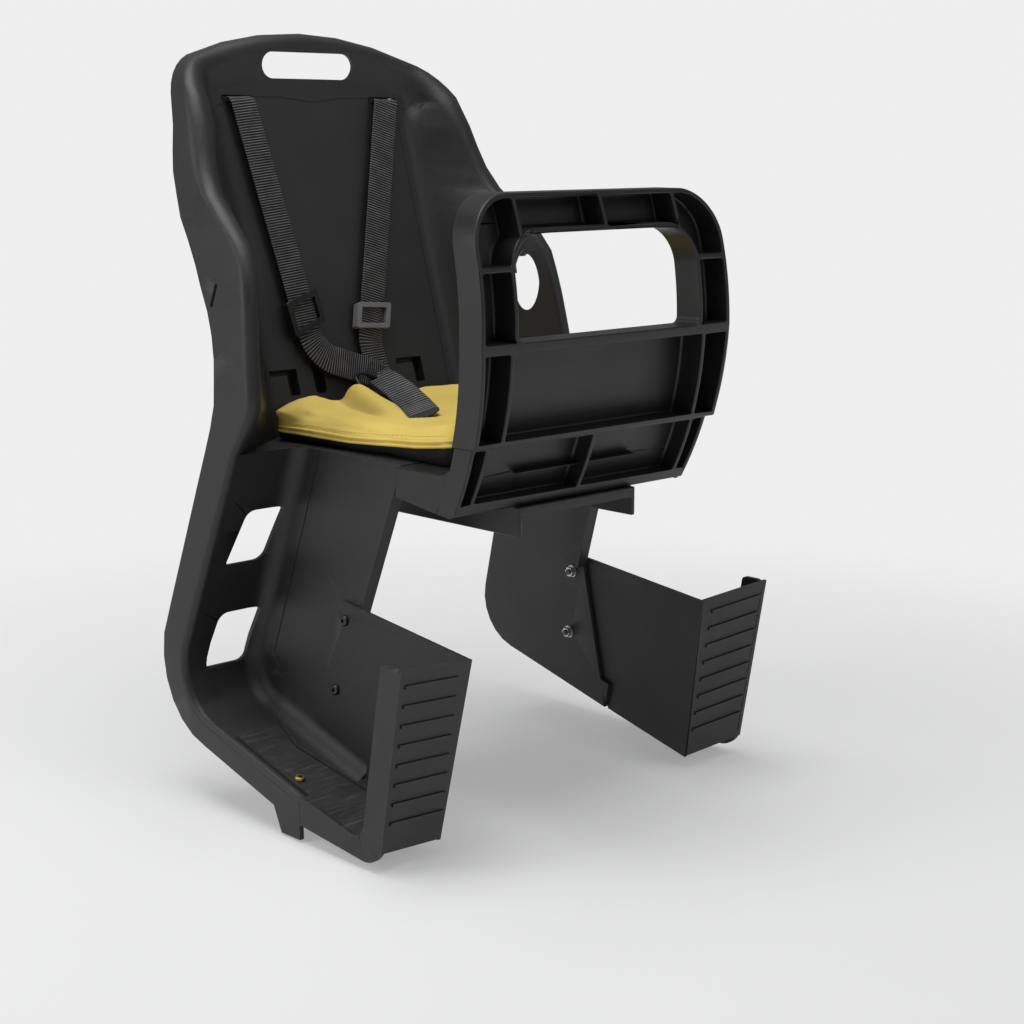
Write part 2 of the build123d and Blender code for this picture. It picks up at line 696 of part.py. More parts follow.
def grip_outline(margin):
    """Front view of the guard's window, larger by a margin."""
    half = GRIP_HALF + margin
    low = GRIP_BOTTOM - margin
    top = GRIP_TOP + margin
    radii = (GRIP_FOOT_CORNER + margin, GRIP_CORNER + margin)
    right = FilletPolyline((0, low), (half, low), (half, top), (0, top), radius=radii)
    return make_face([right, mirror(right, about=Plane.YZ)])


def span(x0, x1, z0, z1):
    """Rectangle between two corners of a front view."""
    return Pos((x0 + x1) / 2, (z0 + z1) / 2) * Rectangle(x1 - x0, z1 - z0)


def guard_cells():
    """Front views of the pockets between the guard's ribs."""
    rib = GUARD_RIB / 2
    inside = offset(guard_outline(), -GUARD_RIB)
    wide = GUARD_HALF_BOW
    ring = (inside & span(-wide, wide, GRIP_BOTTOM, GUARD_TOP)) - grip_outline(GUARD_RIB)
    for x in TOP_RIBS:
        ring -= span(x - rib, x + rib, GRIP_TOP - GRIP_CORNER, GUARD_TOP)
    ring -= span(-wide, wide, SIDE_RIB_HEIGHT - rib, SIDE_RIB_HEIGHT + rib)
    recess = inside & span(-wide, wide, LOWER_RAIL + rib, GRIP_BOTTOM - MID_RAIL)
    for x in (-RECESS_HALF, RECESS_HALF):
        recess -= span(x - rib, x + rib, LOWER_RAIL, GRIP_BOTTOM)
    foot = inside & span(-wide, wide, BOTTOM_RAIL + rib, LOWER_RAIL - 2 * rib)
    for x in FOOT_RIBS:
        foot -= span(x - rib, x + rib, BOTTOM_RAIL, LOWER_RAIL)
    cells = [ring]
    for cell in recess.faces() + foot.faces():
        wide_enough = cell.bounding_box().size.X > 3 * CELL_CORNER
        cells.append(fillet(cell.vertices(), CELL_CORNER) if wide_enough else cell)
    return cells


def front_guard():
    """Ribbed guard in front of the child with its base over the rack, moulded in one piece."""
    far = 2 * GUARD_BOW_FRONT
    guard = guard_layer(0, GUARD_DEPTH) & front_prism(guard_outline(), far, 0)
    guard -= front_prism(grip_outline(0), far, 0)
    pocket = guard_layer(-GUARD_DEPTH, GUARD_DEPTH - GUARD_SKIN)
    for cells in guard_cells():
        guard -= pocket & front_prism(cells, far, 0)
    step_top = LOWER_RAIL - GUARD_RIB / 2
    lower = block(-GUARD_HALF_BOW, GUARD_HALF_BOW, far, 0, 0, step_top)
    guard -= guard_layer(-GUARD_DEPTH, LOWER_STEP) & lower

    # Base: a deck with side walls in front of the pan and a lower deck that the pan stands on
    base_half = GUARD_HALF_FOOT - LOWER_NARROW
    deck_rear = PAN_FRONT - BASE_GAP
    deck_under = PAN_HEIGHT - BASE_WALL
    low_under = deck_under - BASE_WALL
    child = guard_child_y(PAN_HEIGHT)
    base = block(-base_half, base_half, child - GUARD_SKIN / 2, deck_rear, deck_under, PAN_HEIGHT)
    base += block(-BASE_HALF, BASE_HALF, deck_rear - BASE_WALL, deck_rear, low_under, PAN_HEIGHT)
    base += block(-BASE_HALF, BASE_HALF, deck_rear - BASE_WALL, BASE_REAR, low_under, deck_under)
    front_low, rear_low = SIDE_BOTTOM
    cheek = [
        front_low,
        rear_low,
        (deck_rear, PAN_HEIGHT),
        (child, PAN_HEIGHT),
        (front_low[0], PAN_HEIGHT / 2),
    ]
    base += both_sides(side_prism(cheek, base_half - BASE_WALL, base_half))
    flange_low = low_under - BASE_FLANGE
    flange = block(BASE_HALF - BASE_WALL, BASE_HALF, deck_rear, BASE_REAR, flange_low, low_under)
    base += both_sides(flange)

    # Cove where the guard rises from the deck
    rise = PAN_HEIGHT + 2 * GUARD_COVE
    cove_line = FilletPolyline(
        (guard_child_y(rise) - 1, rise),
        (child, PAN_HEIGHT),
        (child + 2 * GUARD_COVE, PAN_HEIGHT),
        radius=GUARD_COVE,
    )
    closing = Polyline(
        cove_line @ 1,
        (child + 2 * GUARD_COVE, deck_under + 1),
        (child - GUARD_SKIN / 2, deck_under + 1),
        cove_line @ 0,
    )
    cove = side_prism(make_face([cove_line, closing]), -base_half, base_half)
    base += cove & front_prism(guard_outline(), far, 0)

    # Box that stands on the rack, with skirts that straddle it
    inner = RACK_HALF - BASE_WALL
    rack = block(-RACK_HALF, RACK_HALF, RACK_FRONT, BASE_REAR, 0, low_under)
    rack += block(-RACK_HALF, RACK_HALF, RACK_FRONT, deck_rear, low_under - 1, deck_under + 1)
    rack -= block(-inner, inner, RACK_FRONT + BASE_WALL, BASE_REAR + 1, BASE_WALL, deck_under)
    rack += both_sides(block(inner, RACK_HALF, RACK_FRONT, SKIRT_REAR, -SKIRT_DROP, BASE_WALL))
    rack -= guard_layer(-3 * GUARD_DEPTH, LOWER_STEP)
    behind_web = GUARD_DEPTH - GUARD_SKIN / 2
    above_rail = block(-RACK_HALF, RACK_HALF, far, 0, BOTTOM_RAIL, deck_under)
    rack -= guard_layer(-3 * GUARD_DEPTH, behind_web) & above_rail
    body = guard + base + rack
    for x in (-RACK_BOLT_X, RACK_BOLT_X):
        for y in (-RACK_BOLT_Y, RACK_BOLT_Y):
            body -= Pos(x, y, 0) * Cylinder(RACK_BOLT_HOLE / 2, 3 * BASE_WALL)
    for place in shell_screw_places():
        body -= place * countersunk_screw(HOLE_PLAY)
    return body


def toe_profile(front, back, low, high):
    """Side view of a slab on the toe wall between two depths and two shares of its height."""
    foot = Vector(*TOE_BOTTOM)
    rise = Vector(*TOE_TOP) - foot
    corners = [(front, low), (front, high), (back, high), (back, low)]
    return [foot + rise * share + Vector(depth, 0) for depth, share in corners]


def toe_prism(profile, start, end):
    """A toe wall profile carried along the wall's skewed direction between two shares of its width."""
    skew = Vector(*TOE_SKEW)
    face = make_face(Polyline(*profile, close=True))
    origin = Vector(TOE_INNER_X, 0, 0) + skew * start
    plane = Plane(origin=origin, x_dir=(0, 1, 0), z_dir=(1, 0, 0))
    return extrude(plane * face, skew.length * (end - start), dir=skew.normalized())


def rest_band():
    """Outer band of the toe box: a flat strip along the floor, round the toe and up the toe wall."""
    rear = FLOOR_FRONT - REST_GAP
    skew = Vector(TOE_SKEW[1], TOE_SKEW[2])
    top = Vector(*TOE_TOP) + skew
    foot = Vector(*TOE_BOTTOM) + skew
    down = (foot - top).normalized()
    floor_top = floor_z(FLOOR_FRONT) + REST_GAP + REST_WALL
    rim_rear, rim_front = TOE_RIM_BOTTOM
    toe = top + down * ((rim_front - top.Y) / down.Y)
    inner = Vector(TOE_BAND, 0)
    heel = top + down * ((REST_FLOOR_TOE + 2 - top.Y) / down.Y) + inner
    points = [(rear, rim_rear), toe, top, top + inner, heel, (rear, floor_top)]
    radii = (TOE_CORNER, TOE_TOP_CORNER, TOE_TOP_CORNER / 2, TOE_INNER_CORNER)
    outline = make_face([FilletPolyline(*points, radius=radii), Line(points[-1], points[0])])
    return side_prism(outline, FOOT_HALF - TOE_BAND_WALL, FOOT_HALF)


def rest_floor(bottom, top):
    """Slab along the footrest's floor between two heights over the leg well's floor."""
    rear = PLATE_POINTS[0][1]
    toe = (TOE_BOTTOM[0], REST_FLOOR_TOE - REST_WALL)
    joint = FLOOR_FRONT - REST_GAP
    points = [
        (rear, floor_z(rear) + bottom),
        (joint, floor_z(joint) + bottom),
        (toe[0], toe[1] + bottom - REST_GAP),
        (toe[0], toe[1] + top - REST_GAP),
        (joint, floor_z(joint) + top),
        (rear, floor_z(rear) + top),
    ]
    return side_prism(points, 0, FOOT_HALF)


def left_footrest():
    """Toe box screwed into the leg well: inner panel, floor plate, ribbed toe wall and outer band."""
    joint = FLOOR_FRONT - 2 * REST_GAP
    low_rear = (REST_LOW_REAR, floor_z(REST_LOW_REAR) + REST_LIFT)
    lean = REST_LIFT * tan(radians(FLOOR_PITCH))
    low_front = (joint - lean, floor_z(joint - lean) + REST_LIFT)
    panel_line = FilletPolyline(TOE_TOP, REST_TOP_REAR, REST_MID_REAR, radius=REST_CORNER)
    rest_of_line = Polyline(
        REST_MID_REAR,
        low_rear,
        low_front,
        (joint, floor_z(joint)),
        TOE_BOTTOM,
        TOE_TOP,
    )
    stack = REST_GAP + REST_WALL
    panel_face = make_face([panel_line, rest_of_line])
    panel = side_prism(panel_face, 0, FOOT_HALF) & inner_slab(stack, REST_WALL)

    beyond_panel = inner_slab(FOOT_HALF, FOOT_HALF - REST_GAP - REST_WALL / 2)
    toe = toe_prism(toe_profile(0, REST_WALL, 0, 1), 0, 1)
    first, last = TOE_RIB_RANGE
    rib_share = TOE_RIB_WIDTH / (Vector(*TOE_TOP) - Vector(*TOE_BOTTOM)).length
    for index in range(TOE_RIBS):
        share = 1 - (first + (last - first) * index / (TOE_RIBS - 1))
        profile = toe_profile(-TOE_RIB_RISE, REST_WALL / 2, share - rib_share, share)
        toe += toe_prism(profile, *TOE_RIB_ENDS)

    # Floor: full width inside the toe box, a narrower plate on the leg well's own floor
    ahead = joint - REST_WALL
    outer = FOOT_HALF - TOE_BAND_WALL / 2
    front_far = 2 * GUARD_BOW_FRONT
    box_plan = [(outer, ahead), (outer, front_far), (INNER_TOP, front_far), (INNER_TOP, ahead)]
    plate_outer = PLATE_POINTS[0][0]
    plate_inner = PLATE_POINTS[-1][0]
    plate_plan = [*PLATE_POINTS, (plate_inner, ahead - 1), (plate_outer, ahead - 1)]
    plan = make_face(Polyline(*box_plan, close=True)) + make_face(Polyline(*plate_plan, close=True))
    deep = 2 * HEEL_HEIGHT
    toe_room = toe_prism(toe_profile(0, 6 * TOE_BAND, 0, 1), 0, 1)
    floor = rest_floor(REST_GAP, stack) & extrude(Pos(0, 0, deep) * plan, -deep)
    behind_toe = block(0, FOOT_HALF, ahead, HEEL_BACK, deep, 0)
    floor = floor & (toe_room + behind_toe)

    # Raised bead along the floor plate's inner edge
    bead_points = [Vector(*point) for point in PLATE_POINTS[1:]]
    bead_points.append(Vector(PLATE_POINTS[-1][0] - TOE_BAND / 4, TOE_BOTTOM[0] + REST_WALL))
    bead_other = path_to_right(bead_points, -PLATE_BEAD)
    bead_plan = make_face(Polyline(*bead_points, *reversed(bead_other), close=True))
    bead_band = extrude(Pos(0, 0, deep) * bead_plan, -deep)
    bead = rest_floor(stack - PLATE_BEAD_ROOT, stack + PLATE_BEAD_RISE) & bead_band

    body = panel + ((toe + floor) & beyond_panel) + rest_band() + bead
    walls, floor_screw = rest_screw_planes()
    for plane in walls + [floor_screw]:
        body -= plane * Cylinder((SCREW_SHANK + HOLE_PLAY) / 2, 6 * SHELL_WALL)
    return body


def socket_screw(length):
    """Button-head socket screw standing on z = 0 with its shank pointing down."""
    head = Pos(0, 0, SCREW_HEAD_TALL / 2) * Cylinder(SCREW_HEAD / 2, SCREW_HEAD_TALL)
    head = fillet(head.faces().sort_by(Axis.Z)[-1].edges(), SCREW_HEAD_DOME)
    socket = extrude(RegularPolygon(SCREW_SOCKET / 2, 6, major_radius=False), SCREW_HEAD_TALL)
    shank = Pos(0, 0, -length / 2) * Cylinder(SCREW_SHANK / 2, length)
    return head - Pos(0, 0, SCREW_SOCKET_FLOOR) * socket + shank


def hex_nut(flats, tall, shank):
    """Nut with its top at z = 0."""
    body = extrude(RegularPolygon(flats / 2, 6, major_radius=False), -tall)
    return body - Pos(0, 0, -tall / 2) * Cylinder((shank + THREAD_PLAY) / 2, 2 * tall)


def washer(wide, shank):
    """Washer with its top at z = 0."""
    ring = Circle(wide / 2) - Circle((shank + THREAD_PLAY) / 2)
    return extrude(ring, -WASHER_THICK)


def fasteners():
    """Screws, washers and nuts by node name, each node holding all pieces of its kind."""
    walls, floor = rest_screw_planes()
    grip = REST_GAP + REST_WALL + SHELL_WALL
    screw = socket_screw(grip + WASHER_THICK + NUT_TALL + SCREW_END)
    rest_washer = Pos(0, 0, -grip) * washer(WASHER_WIDE, SCREW_SHANK)
    nut = Pos(0, 0, -grip - WASHER_THICK) * hex_nut(NUT_FLATS, NUT_TALL, SCREW_SHANK)
    low = -SHELL_WALL - BASE_WALL
    places = shell_screw_places()
    pan_screw = countersunk_screw(0)
    socket = extrude(RegularPolygon(SCREW_SOCKET / 2, 6, major_radius=False), -SCREW_HEAD_TALL)
    pan_washer = Pos(0, 0, low) * washer(SHELL_WASHER_WIDE, SHELL_SCREW_SHANK)
    pan_nut = hex_nut(SHELL_NUT_FLATS, SHELL_NUT_TALL, SHELL_SCREW_SHANK)
    pan_nut = Pos(0, 0, low - WASHER_THICK) * pan_nut
    rest_planes = walls + [floor]
    return {
        "footrest_wall_screws": both_sides(Compound(children=[plane * screw for plane in walls])),
        "footrest_floor_screws": both_sides(floor * screw),
        "footrest_washers": both_sides(Compound(children=[p * rest_washer for p in rest_planes])),
        "footrest_nuts": both_sides(Compound(children=[p * nut for p in rest_planes])),
        "shell_screws": Compound(children=[place * (pan_screw - socket) for place in places]),
        "shell_washers": Compound(children=[place * pan_washer for place in places]),
        "shell_nuts": Compound(children=[place * pan_nut for place in places]),
    }


def seat_cushion():
    """Pad that lies on the pan."""
    middle = (CUSHION_FRONT + CUSHION_REAR) / 2
    outline = RectangleRounded(2 * CUSHION_HALF, CUSHION_REAR - CUSHION_FRONT, CUSHION_CORNER)
    pad = extrude(Pos(0, middle, PAN_HEIGHT + SOFT_GAP) * outline, CUSHION_THICK)
    faces = pad.faces().sort_by(Axis.Z)
    return fillet(faces[0].edges() + faces[-1].edges(), CUSHION_EDGE)


def strap_path(slot_x, adjuster_at, bend, end):
    """Middle line of a shoulder strap on the backrest, from above its slot to its sewn end."""
    slot = Vector(slot_x, STRAP_SLOT_ALONG)
    place = Vector(*adjuster_at)
    down = (place - slot).normalized()
    return [slot - down * STRAP_WIDTH, place + down * bend, Vector(*end)]


def shoulder_strap(slot_x, path, radius, lift):
    """Webbing on the backrest, through its slot and sewn into a loop around the pin behind."""
    side = STRAP_WIDTH / 2
    right = path_to_right(path, side)
    left = path_to_right(path, -side)
    lines = [FilletPolyline(*right, radius=radius + side), FilletPolyline(*left, radius=radius - side)]
    strip = make_face(lines + [Line(right[0], left[0]), Line(right[-1], left[-1])])
    top = STRAP_SLOT_ALONG + STRAP_THICK / 2
    strip = strip & Pos(0, top / 2) * Rectangle(4 * PANEL_HALF, top)
    front = extrude(panel_plane(lift) * strip, STRAP_THICK)
    pin_lift = pin_depth()
    tail = panel_plane(pin_lift) * (Pos(slot_x, STRAP_SLOT_ALONG) * Rectangle(STRAP_WIDTH, STRAP_THICK))
    back = extrude(tail, lift + STRAP_THICK - pin_lift)
    pin_place = panel_plane(pin_lift).from_local_coords((slot_x, STRAP_SLOT_ALONG, 0))
    along = Plane(origin=pin_place, z_dir=(1, 0, 0))
    inside = PIN_DIAMETER / 2 + PIN_PLAY
    loop = extrude(along * Circle(inside + STRAP_THICK), side, both=True)
    eye = extrude(along * Circle(inside), STRAP_WIDTH, both=True)
    return front + back + loop - eye


def pin_depth():
    """Lift of the strap pins: behind the panel, with the strap's loop against it."""
    panel_back = -(PANEL_STEP + SHELL_WALL) * cos(radians(RECLINE))
    return panel_back - PIN_DIAMETER / 2 - PIN_PLAY - STRAP_THICK - SOFT_GAP / 3


def strap_pin(slot_x):
    """Bar behind the backrest that holds a strap's loop."""
    origin = panel_plane(pin_depth()).from_local_coords((slot_x, STRAP_SLOT_ALONG, 0))
    reach = STRAP_SLOT_LENGTH / 2 + PIN_OVERHANG
    return extrude(Plane(origin=origin, z_dir=(1, 0, 0)) * Circle(PIN_DIAMETER / 2), reach, both=True)


def strap_adjuster(path, place, lift):
    """Three-bar slide: the strap runs behind its end bars and over its middle bar."""
    inside = STRAP_WIDTH / 2 + SLIDE_GAP
    outside = inside + ADJUSTER_RAIL
    low = lift - SLIDE_GAP - ADJUSTER_BACK_THICK
    over = lift + STRAP_THICK + SLIDE_GAP
    high = over + ADJUSTER_BAR_THICK
    half = ADJUSTER_LONG / 2
    outline = RectangleRounded(2 * outside, 2 * half, ADJUSTER_CORNER)
    slide = extrude(Pos(0, 0, low) * outline, high - low)
    slide -= block(-inside, inside, -half + ADJUSTER_BAR, half - ADJUSTER_BAR, low, high)
    slide -= block(-inside, inside, -half, half, low, over)
    bar = ADJUSTER_BAR / 2
    slide += block(-outside + 1, outside - 1, -bar, bar, low, low + ADJUSTER_BACK_THICK)
    down = path[1] - path[0]
    turn = degrees(atan2(down.Y, down.X)) + 90
    return panel_plane(0) * Pos(*place) * Rot(0, 0, turn) * slide


def tongue_plane():
    """Upright plane along the harness tongue, from where the straps meet to its tip."""
    start = Vector(*TONGUE_START, 0)
    along = (Vector(*TONGUE_TIP, 0) - start).normalized()
    return Plane(origin=start, x_dir=along, z_dir=along.cross(Vector(0, 0, 1)))


def tongue_line():
    """Underside of the tongue in its upright plane: down the ramp and along the cushion."""
    low = PAN_HEIGHT + CUSHION_THICK + 2 * SOFT_GAP
    slope = TONGUE_RISE / TONGUE_RAMP
    length = (Vector(*TONGUE_TIP) - Vector(*TONGUE_START)).length
    start = Vector(-TONGUE_RAMP, low + TONGUE_RISE + slope * TONGUE_RAMP)
    return [start, Vector(TONGUE_RAMP, low), Vector(length, low)]


def harness_tongue():
    """Webbing tongue from the meeting straps down onto the cushion, with a rounded end."""
    under = tongue_line()
    over = path_to_right(under, -STRAP_THICK)
    profile = make_face([
        FilletPolyline(*under, radius=TONGUE_ROUND),
        FilletPolyline(*over, radius=TONGUE_ROUND - STRAP_THICK),
        Line(under[0], over[0]),
        Line(under[-1], over[-1]),
    ])
    strip = extrude(tongue_plane() * profile, STRAP_WIDTH / 2, both=True)
    length = under[-1].X
    round_end = STRAP_WIDTH / 2
    straight = length - round_end
    plan = Pos((straight - TONGUE_RAMP) / 2) * Rectangle(straight + TONGUE_RAMP, STRAP_WIDTH)
    plan += Pos(straight) * Circle(round_end)
    flat = Plane(origin=tongue_plane().origin, x_dir=tongue_plane().x_dir, z_dir=(0, 0, 1))
    strip = strip & extrude(flat * plan, 2 * BACK_TOP)
    panel_side = panel_plane(-PANEL_HALF) * Rectangle(4 * PANEL_HALF, 4 * PANEL_HALF)
    return strip - extrude(panel_side, PANEL_HALF + RIGHT_STRAP_LIFT + STRAP_THICK)


def strap_keeper():
    """Loop around the tongue's ramp."""
    start, bend, _ = tongue_line()
    down = (bend - start).normalized()
    up = Vector(-down.Y, down.X)
    spot = start + down * ((KEEPER_PLACE - start.X) / down.X) + up * (STRAP_THICK / 2)
    plane = tongue_plane()
    origin = plane.from_local_coords((spot.X, spot.Y, 0))
    along = plane.x_dir * down.X + plane.y_dir * down.Y
    loop_plane = Plane(origin=origin, x_dir=plane.z_dir, z_dir=along)
    wide = STRAP_WIDTH + 2 * SLIDE_GAP
    tall = STRAP_THICK + 2 * SLIDE_GAP
    ring = RectangleRounded(wide + 2 * KEEPER_WALL, tall + 2 * KEEPER_WALL, KEEPER_WALL)
    ring -= Rectangle(wide, tall)
    return extrude(loop_plane * ring, KEEPER_LONG / 2, both=True)


os.makedirs("parts", exist_ok=True)
right_path = strap_path(-STRAP_SLOT_X, RIGHT_ADJUSTER_AT, RIGHT_BEND, RIGHT_STRAP_END)
left_path = strap_path(STRAP_SLOT_X, LEFT_ADJUSTER_AT, LEFT_BEND, LEFT_STRAP_END)
right_strap = shoulder_strap(-STRAP_SLOT_X, right_path, RIGHT_BEND_RADIUS, RIGHT_STRAP_LIFT)
left_strap = shoulder_strap(STRAP_SLOT_X, left_path, LEFT_BEND_RADIUS, LEFT_STRAP_LIFT)
footrest = left_footrest()
nodes = {
    "seat_shell": seat_shell(),
    "front_guard": front_guard(),
    "right_footrest": mirror(footrest, about=Plane.YZ),
    "left_footrest": footrest,
    "seat_cushion": seat_cushion(),
    "right_shoulder_strap": right_strap,
    "left_shoulder_strap": left_strap,
    "right_strap_adjuster": strap_adjuster(right_path, RIGHT_ADJUSTER_AT, RIGHT_STRAP_LIFT),
    "left_strap_adjuster": strap_adjuster(left_path, LEFT_ADJUSTER_AT, LEFT_STRAP_LIFT),
    "harness_tongue": harness_tongue(),
    "strap_keeper": strap_keeper(),
    "right_strap_pin": strap_pin(-STRAP_SLOT_X),
    "left_strap_pin": strap_pin(STRAP_SLOT_X),
    **fasteners(),
}
for name, shape in nodes.items():
    export_step(shape, f"parts/{name}.step")
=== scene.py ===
import math

import bmesh
import bpy
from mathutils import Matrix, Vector, noise
from mathutils.bvhtree import BVHTree


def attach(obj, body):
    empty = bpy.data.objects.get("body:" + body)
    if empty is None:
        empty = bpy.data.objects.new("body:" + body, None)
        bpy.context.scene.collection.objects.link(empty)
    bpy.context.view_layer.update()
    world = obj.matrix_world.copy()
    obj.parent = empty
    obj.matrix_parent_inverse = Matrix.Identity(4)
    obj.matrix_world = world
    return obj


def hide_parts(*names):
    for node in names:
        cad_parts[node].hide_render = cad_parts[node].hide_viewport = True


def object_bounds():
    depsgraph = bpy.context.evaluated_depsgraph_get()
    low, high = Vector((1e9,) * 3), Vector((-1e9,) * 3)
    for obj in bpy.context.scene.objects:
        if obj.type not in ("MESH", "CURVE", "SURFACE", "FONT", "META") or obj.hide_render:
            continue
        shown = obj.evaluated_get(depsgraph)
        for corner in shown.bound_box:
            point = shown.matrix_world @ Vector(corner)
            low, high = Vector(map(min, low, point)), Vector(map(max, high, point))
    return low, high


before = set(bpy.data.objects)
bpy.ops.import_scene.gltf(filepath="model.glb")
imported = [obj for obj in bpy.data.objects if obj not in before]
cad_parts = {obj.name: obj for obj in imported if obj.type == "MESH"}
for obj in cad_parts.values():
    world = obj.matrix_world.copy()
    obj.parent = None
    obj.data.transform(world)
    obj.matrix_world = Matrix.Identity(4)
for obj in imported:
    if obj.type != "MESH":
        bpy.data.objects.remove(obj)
cad_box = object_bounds()
scene = bpy.context.scene


# The camera stands at the child's right, in front of the guard and a little above the cushion.
# The floor is a pale sheet under the lowest foot box, and the light comes from large soft panels.

VIEW_POINT = Vector((-1.083, -1.1547, 0.2945))
VIEW_DIRECTION = Vector((0.680, 0.707, -0.194))
LENS_MM = 67.13
FLOOR_GAP = 0.002
FLOOR_REACH = 9.0
FLOOR_FADE = (0.45, 1.15)
PAPER = (0.86, 0.86, 0.86, 1.0)

camera_data = bpy.data.cameras.new("view")
camera_data.sensor_width = 36.0
camera_data.lens = LENS_MM
camera = bpy.data.objects.new("view", camera_data)
camera.location = VIEW_POINT
camera.rotation_euler = VIEW_DIRECTION.to_track_quat("-Z", "Y").to_euler()
scene.collection.objects.link(camera)
scene.camera = camera
scene.view_settings.view_transform = "Standard"
scene.view_settings.look = "None"


def mesh_object(name, points, faces):
    """A new object made of these points and faces."""
    data = bpy.data.meshes.new(name)
    data.from_pydata([tuple(p) for p in points], [], faces)
    data.validate()
    obj = bpy.data.objects.new(name, data)
    scene.collection.objects.link(obj)
    return obj


def new_material(name):
    """A node material with its shader and its links."""
    material = bpy.data.materials.new(name)
    material.use_nodes = True
    nodes = material.node_tree.nodes
    return material, nodes, material.node_tree.links, nodes["Principled BSDF"]


floor_level = cad_box[0][2] - FLOOR_GAP
floor = mesh_object(
    "floor",
    [(x, y, floor_level) for x, y in ((-1, -1), (1, -1), (1, 1), (-1, 1))],
    [(0, 1, 2, 3)],
)
floor.scale = (FLOOR_REACH, FLOOR_REACH, 1.0)
paper, nodes, links, shader = new_material("floor_paper")
shader.inputs["Base Color"].default_value = (0.62, 0.62, 0.62, 1.0)
shader.inputs["Roughness"].default_value = 0.9
shader.inputs["Specular IOR Level"].default_value = 0.1
shader.inputs["Emission Color"].default_value = PAPER
shader.inputs["Emission Strength"].default_value = 0.34
far_paper = nodes.new("ShaderNodeEmission")
far_paper.inputs["Color"].default_value = PAPER
place = nodes.new("ShaderNodeNewGeometry")
distance = nodes.new("ShaderNodeVectorMath")
distance.operation = "LENGTH"
fade = nodes.new("ShaderNodeMapRange")
fade.interpolation_type = "SMOOTHSTEP"
fade.inputs["From Min"].default_value = FLOOR_FADE[0]
fade.inputs["From Max"].default_value = FLOOR_FADE[1]
sheet = nodes.new("ShaderNodeMixShader")
links.new(place.outputs["Position"], distance.inputs[0])
links.new(distance.outputs["Value"], fade.inputs["Value"])
links.new(fade.outputs[0], sheet.inputs[0])
links.new(shader.outputs[0], sheet.inputs[1])
links.new(far_paper.outputs[0], sheet.inputs[2])
links.new(sheet.outputs[0], nodes["Material Output"].inputs["Surface"])
floor.data.materials.append(paper)


def soft_panel(name, place, target, size, power):
    """A large lamp panel that faces a point of the object."""
    data = bpy.data.lights.new(name, "AREA")
    data.shape = "RECTANGLE"
    data.size, data.size_y = size
    data.energy = power
    lamp = bpy.data.objects.new(name, data)
    lamp.location = place
    lamp.rotation_euler = (Vector(target) - Vector(place)).to_track_quat("-Z", "Y").to_euler()
    scene.collection.objects.link(lamp)
    return lamp


LAMP_TARGET = (0.0, 0.05, 0.08)
soft_panel("overhead_panel", (-0.25, 0.1, 1.75), LAMP_TARGET, (1.3, 1.3), 24.0)
soft_panel("window_panel", (-1.7, 0.75, 0.75), LAMP_TARGET, (0.9, 1.3), 11.0)
soft_panel("front_panel", (0.5, -2.0, 1.1), LAMP_TARGET, (1.2, 0.9), 5.0)

room = bpy.data.worlds.new("room")
room.use_nodes = True
scene.world = room
nodes, links = room.node_tree.nodes, room.node_tree.links
backdrop = nodes["Background"]
backdrop.inputs["Color"].default_value = PAPER
backdrop.inputs["Strength"].default_value = 1.0
fill = nodes.new("ShaderNodeBackground")
fill.inputs["Color"].default_value = (0.86, 0.88, 0.92, 1.0)
fill.inputs["Strength"].default_value = 0.22
seen = nodes.new("ShaderNodeLightPath")
mix = nodes.new("ShaderNodeMixShader")
links.new(seen.outputs["Is Camera Ray"], mix.inputs[0])
links.new(fill.outputs[0], mix.inputs[1])
links.new(backdrop.outputs[0], mix.inputs[2])
links.new(mix.outputs[0], nodes["World Output"].inputs["Surface"])


# The seat shell is one injection moulding in black polypropylene: panel, wings, pan and leg wells.
# Its faces have a fine spark-eroded grain, its edges are rubbed smooth and its rim is rolled outwards.

SHELL_EDGE = 0.0007
SHELL_CORNER = 0.0007
SHELL_BLACK = (0.0152, 0.0155, 0.0163, 1.0)
# Edge wear and painted highlight: the shell's convex edges lighten towards this tone
SHELL_RUB_HIGHLIGHT = (0.0185, 0.0188, 0.0197, 1.0)


def shader_group(name, inputs, outputs):
    """An empty node group: inputs as name to start value, outputs as name to socket kind."""
    group = bpy.data.node_groups.new(name, "ShaderNodeTree")
    for label, value in inputs.items():
        socket = group.interface.new_socket(label, in_out="INPUT", socket_type="NodeSocketFloat")
        socket.default_value = value
    for label, kind in outputs.items():
        group.interface.new_socket(label, in_out="OUTPUT", socket_type="NodeSocket" + kind)
    start = group.nodes.new("NodeGroupInput")
    end = group.nodes.new("NodeGroupOutput")
    return group, group.nodes, group.links, start, end


def add_node(nodes, kind, **settings):
    """A shader node with its settings; sockets gives start values of its inputs by name."""
    node = nodes.new("ShaderNode" + kind)
    sockets = settings.pop("sockets", {})
    for label, value in settings.items():
        setattr(node, label, value)
    for label, value in sockets.items():
        node.inputs[label].default_value = value
    return node


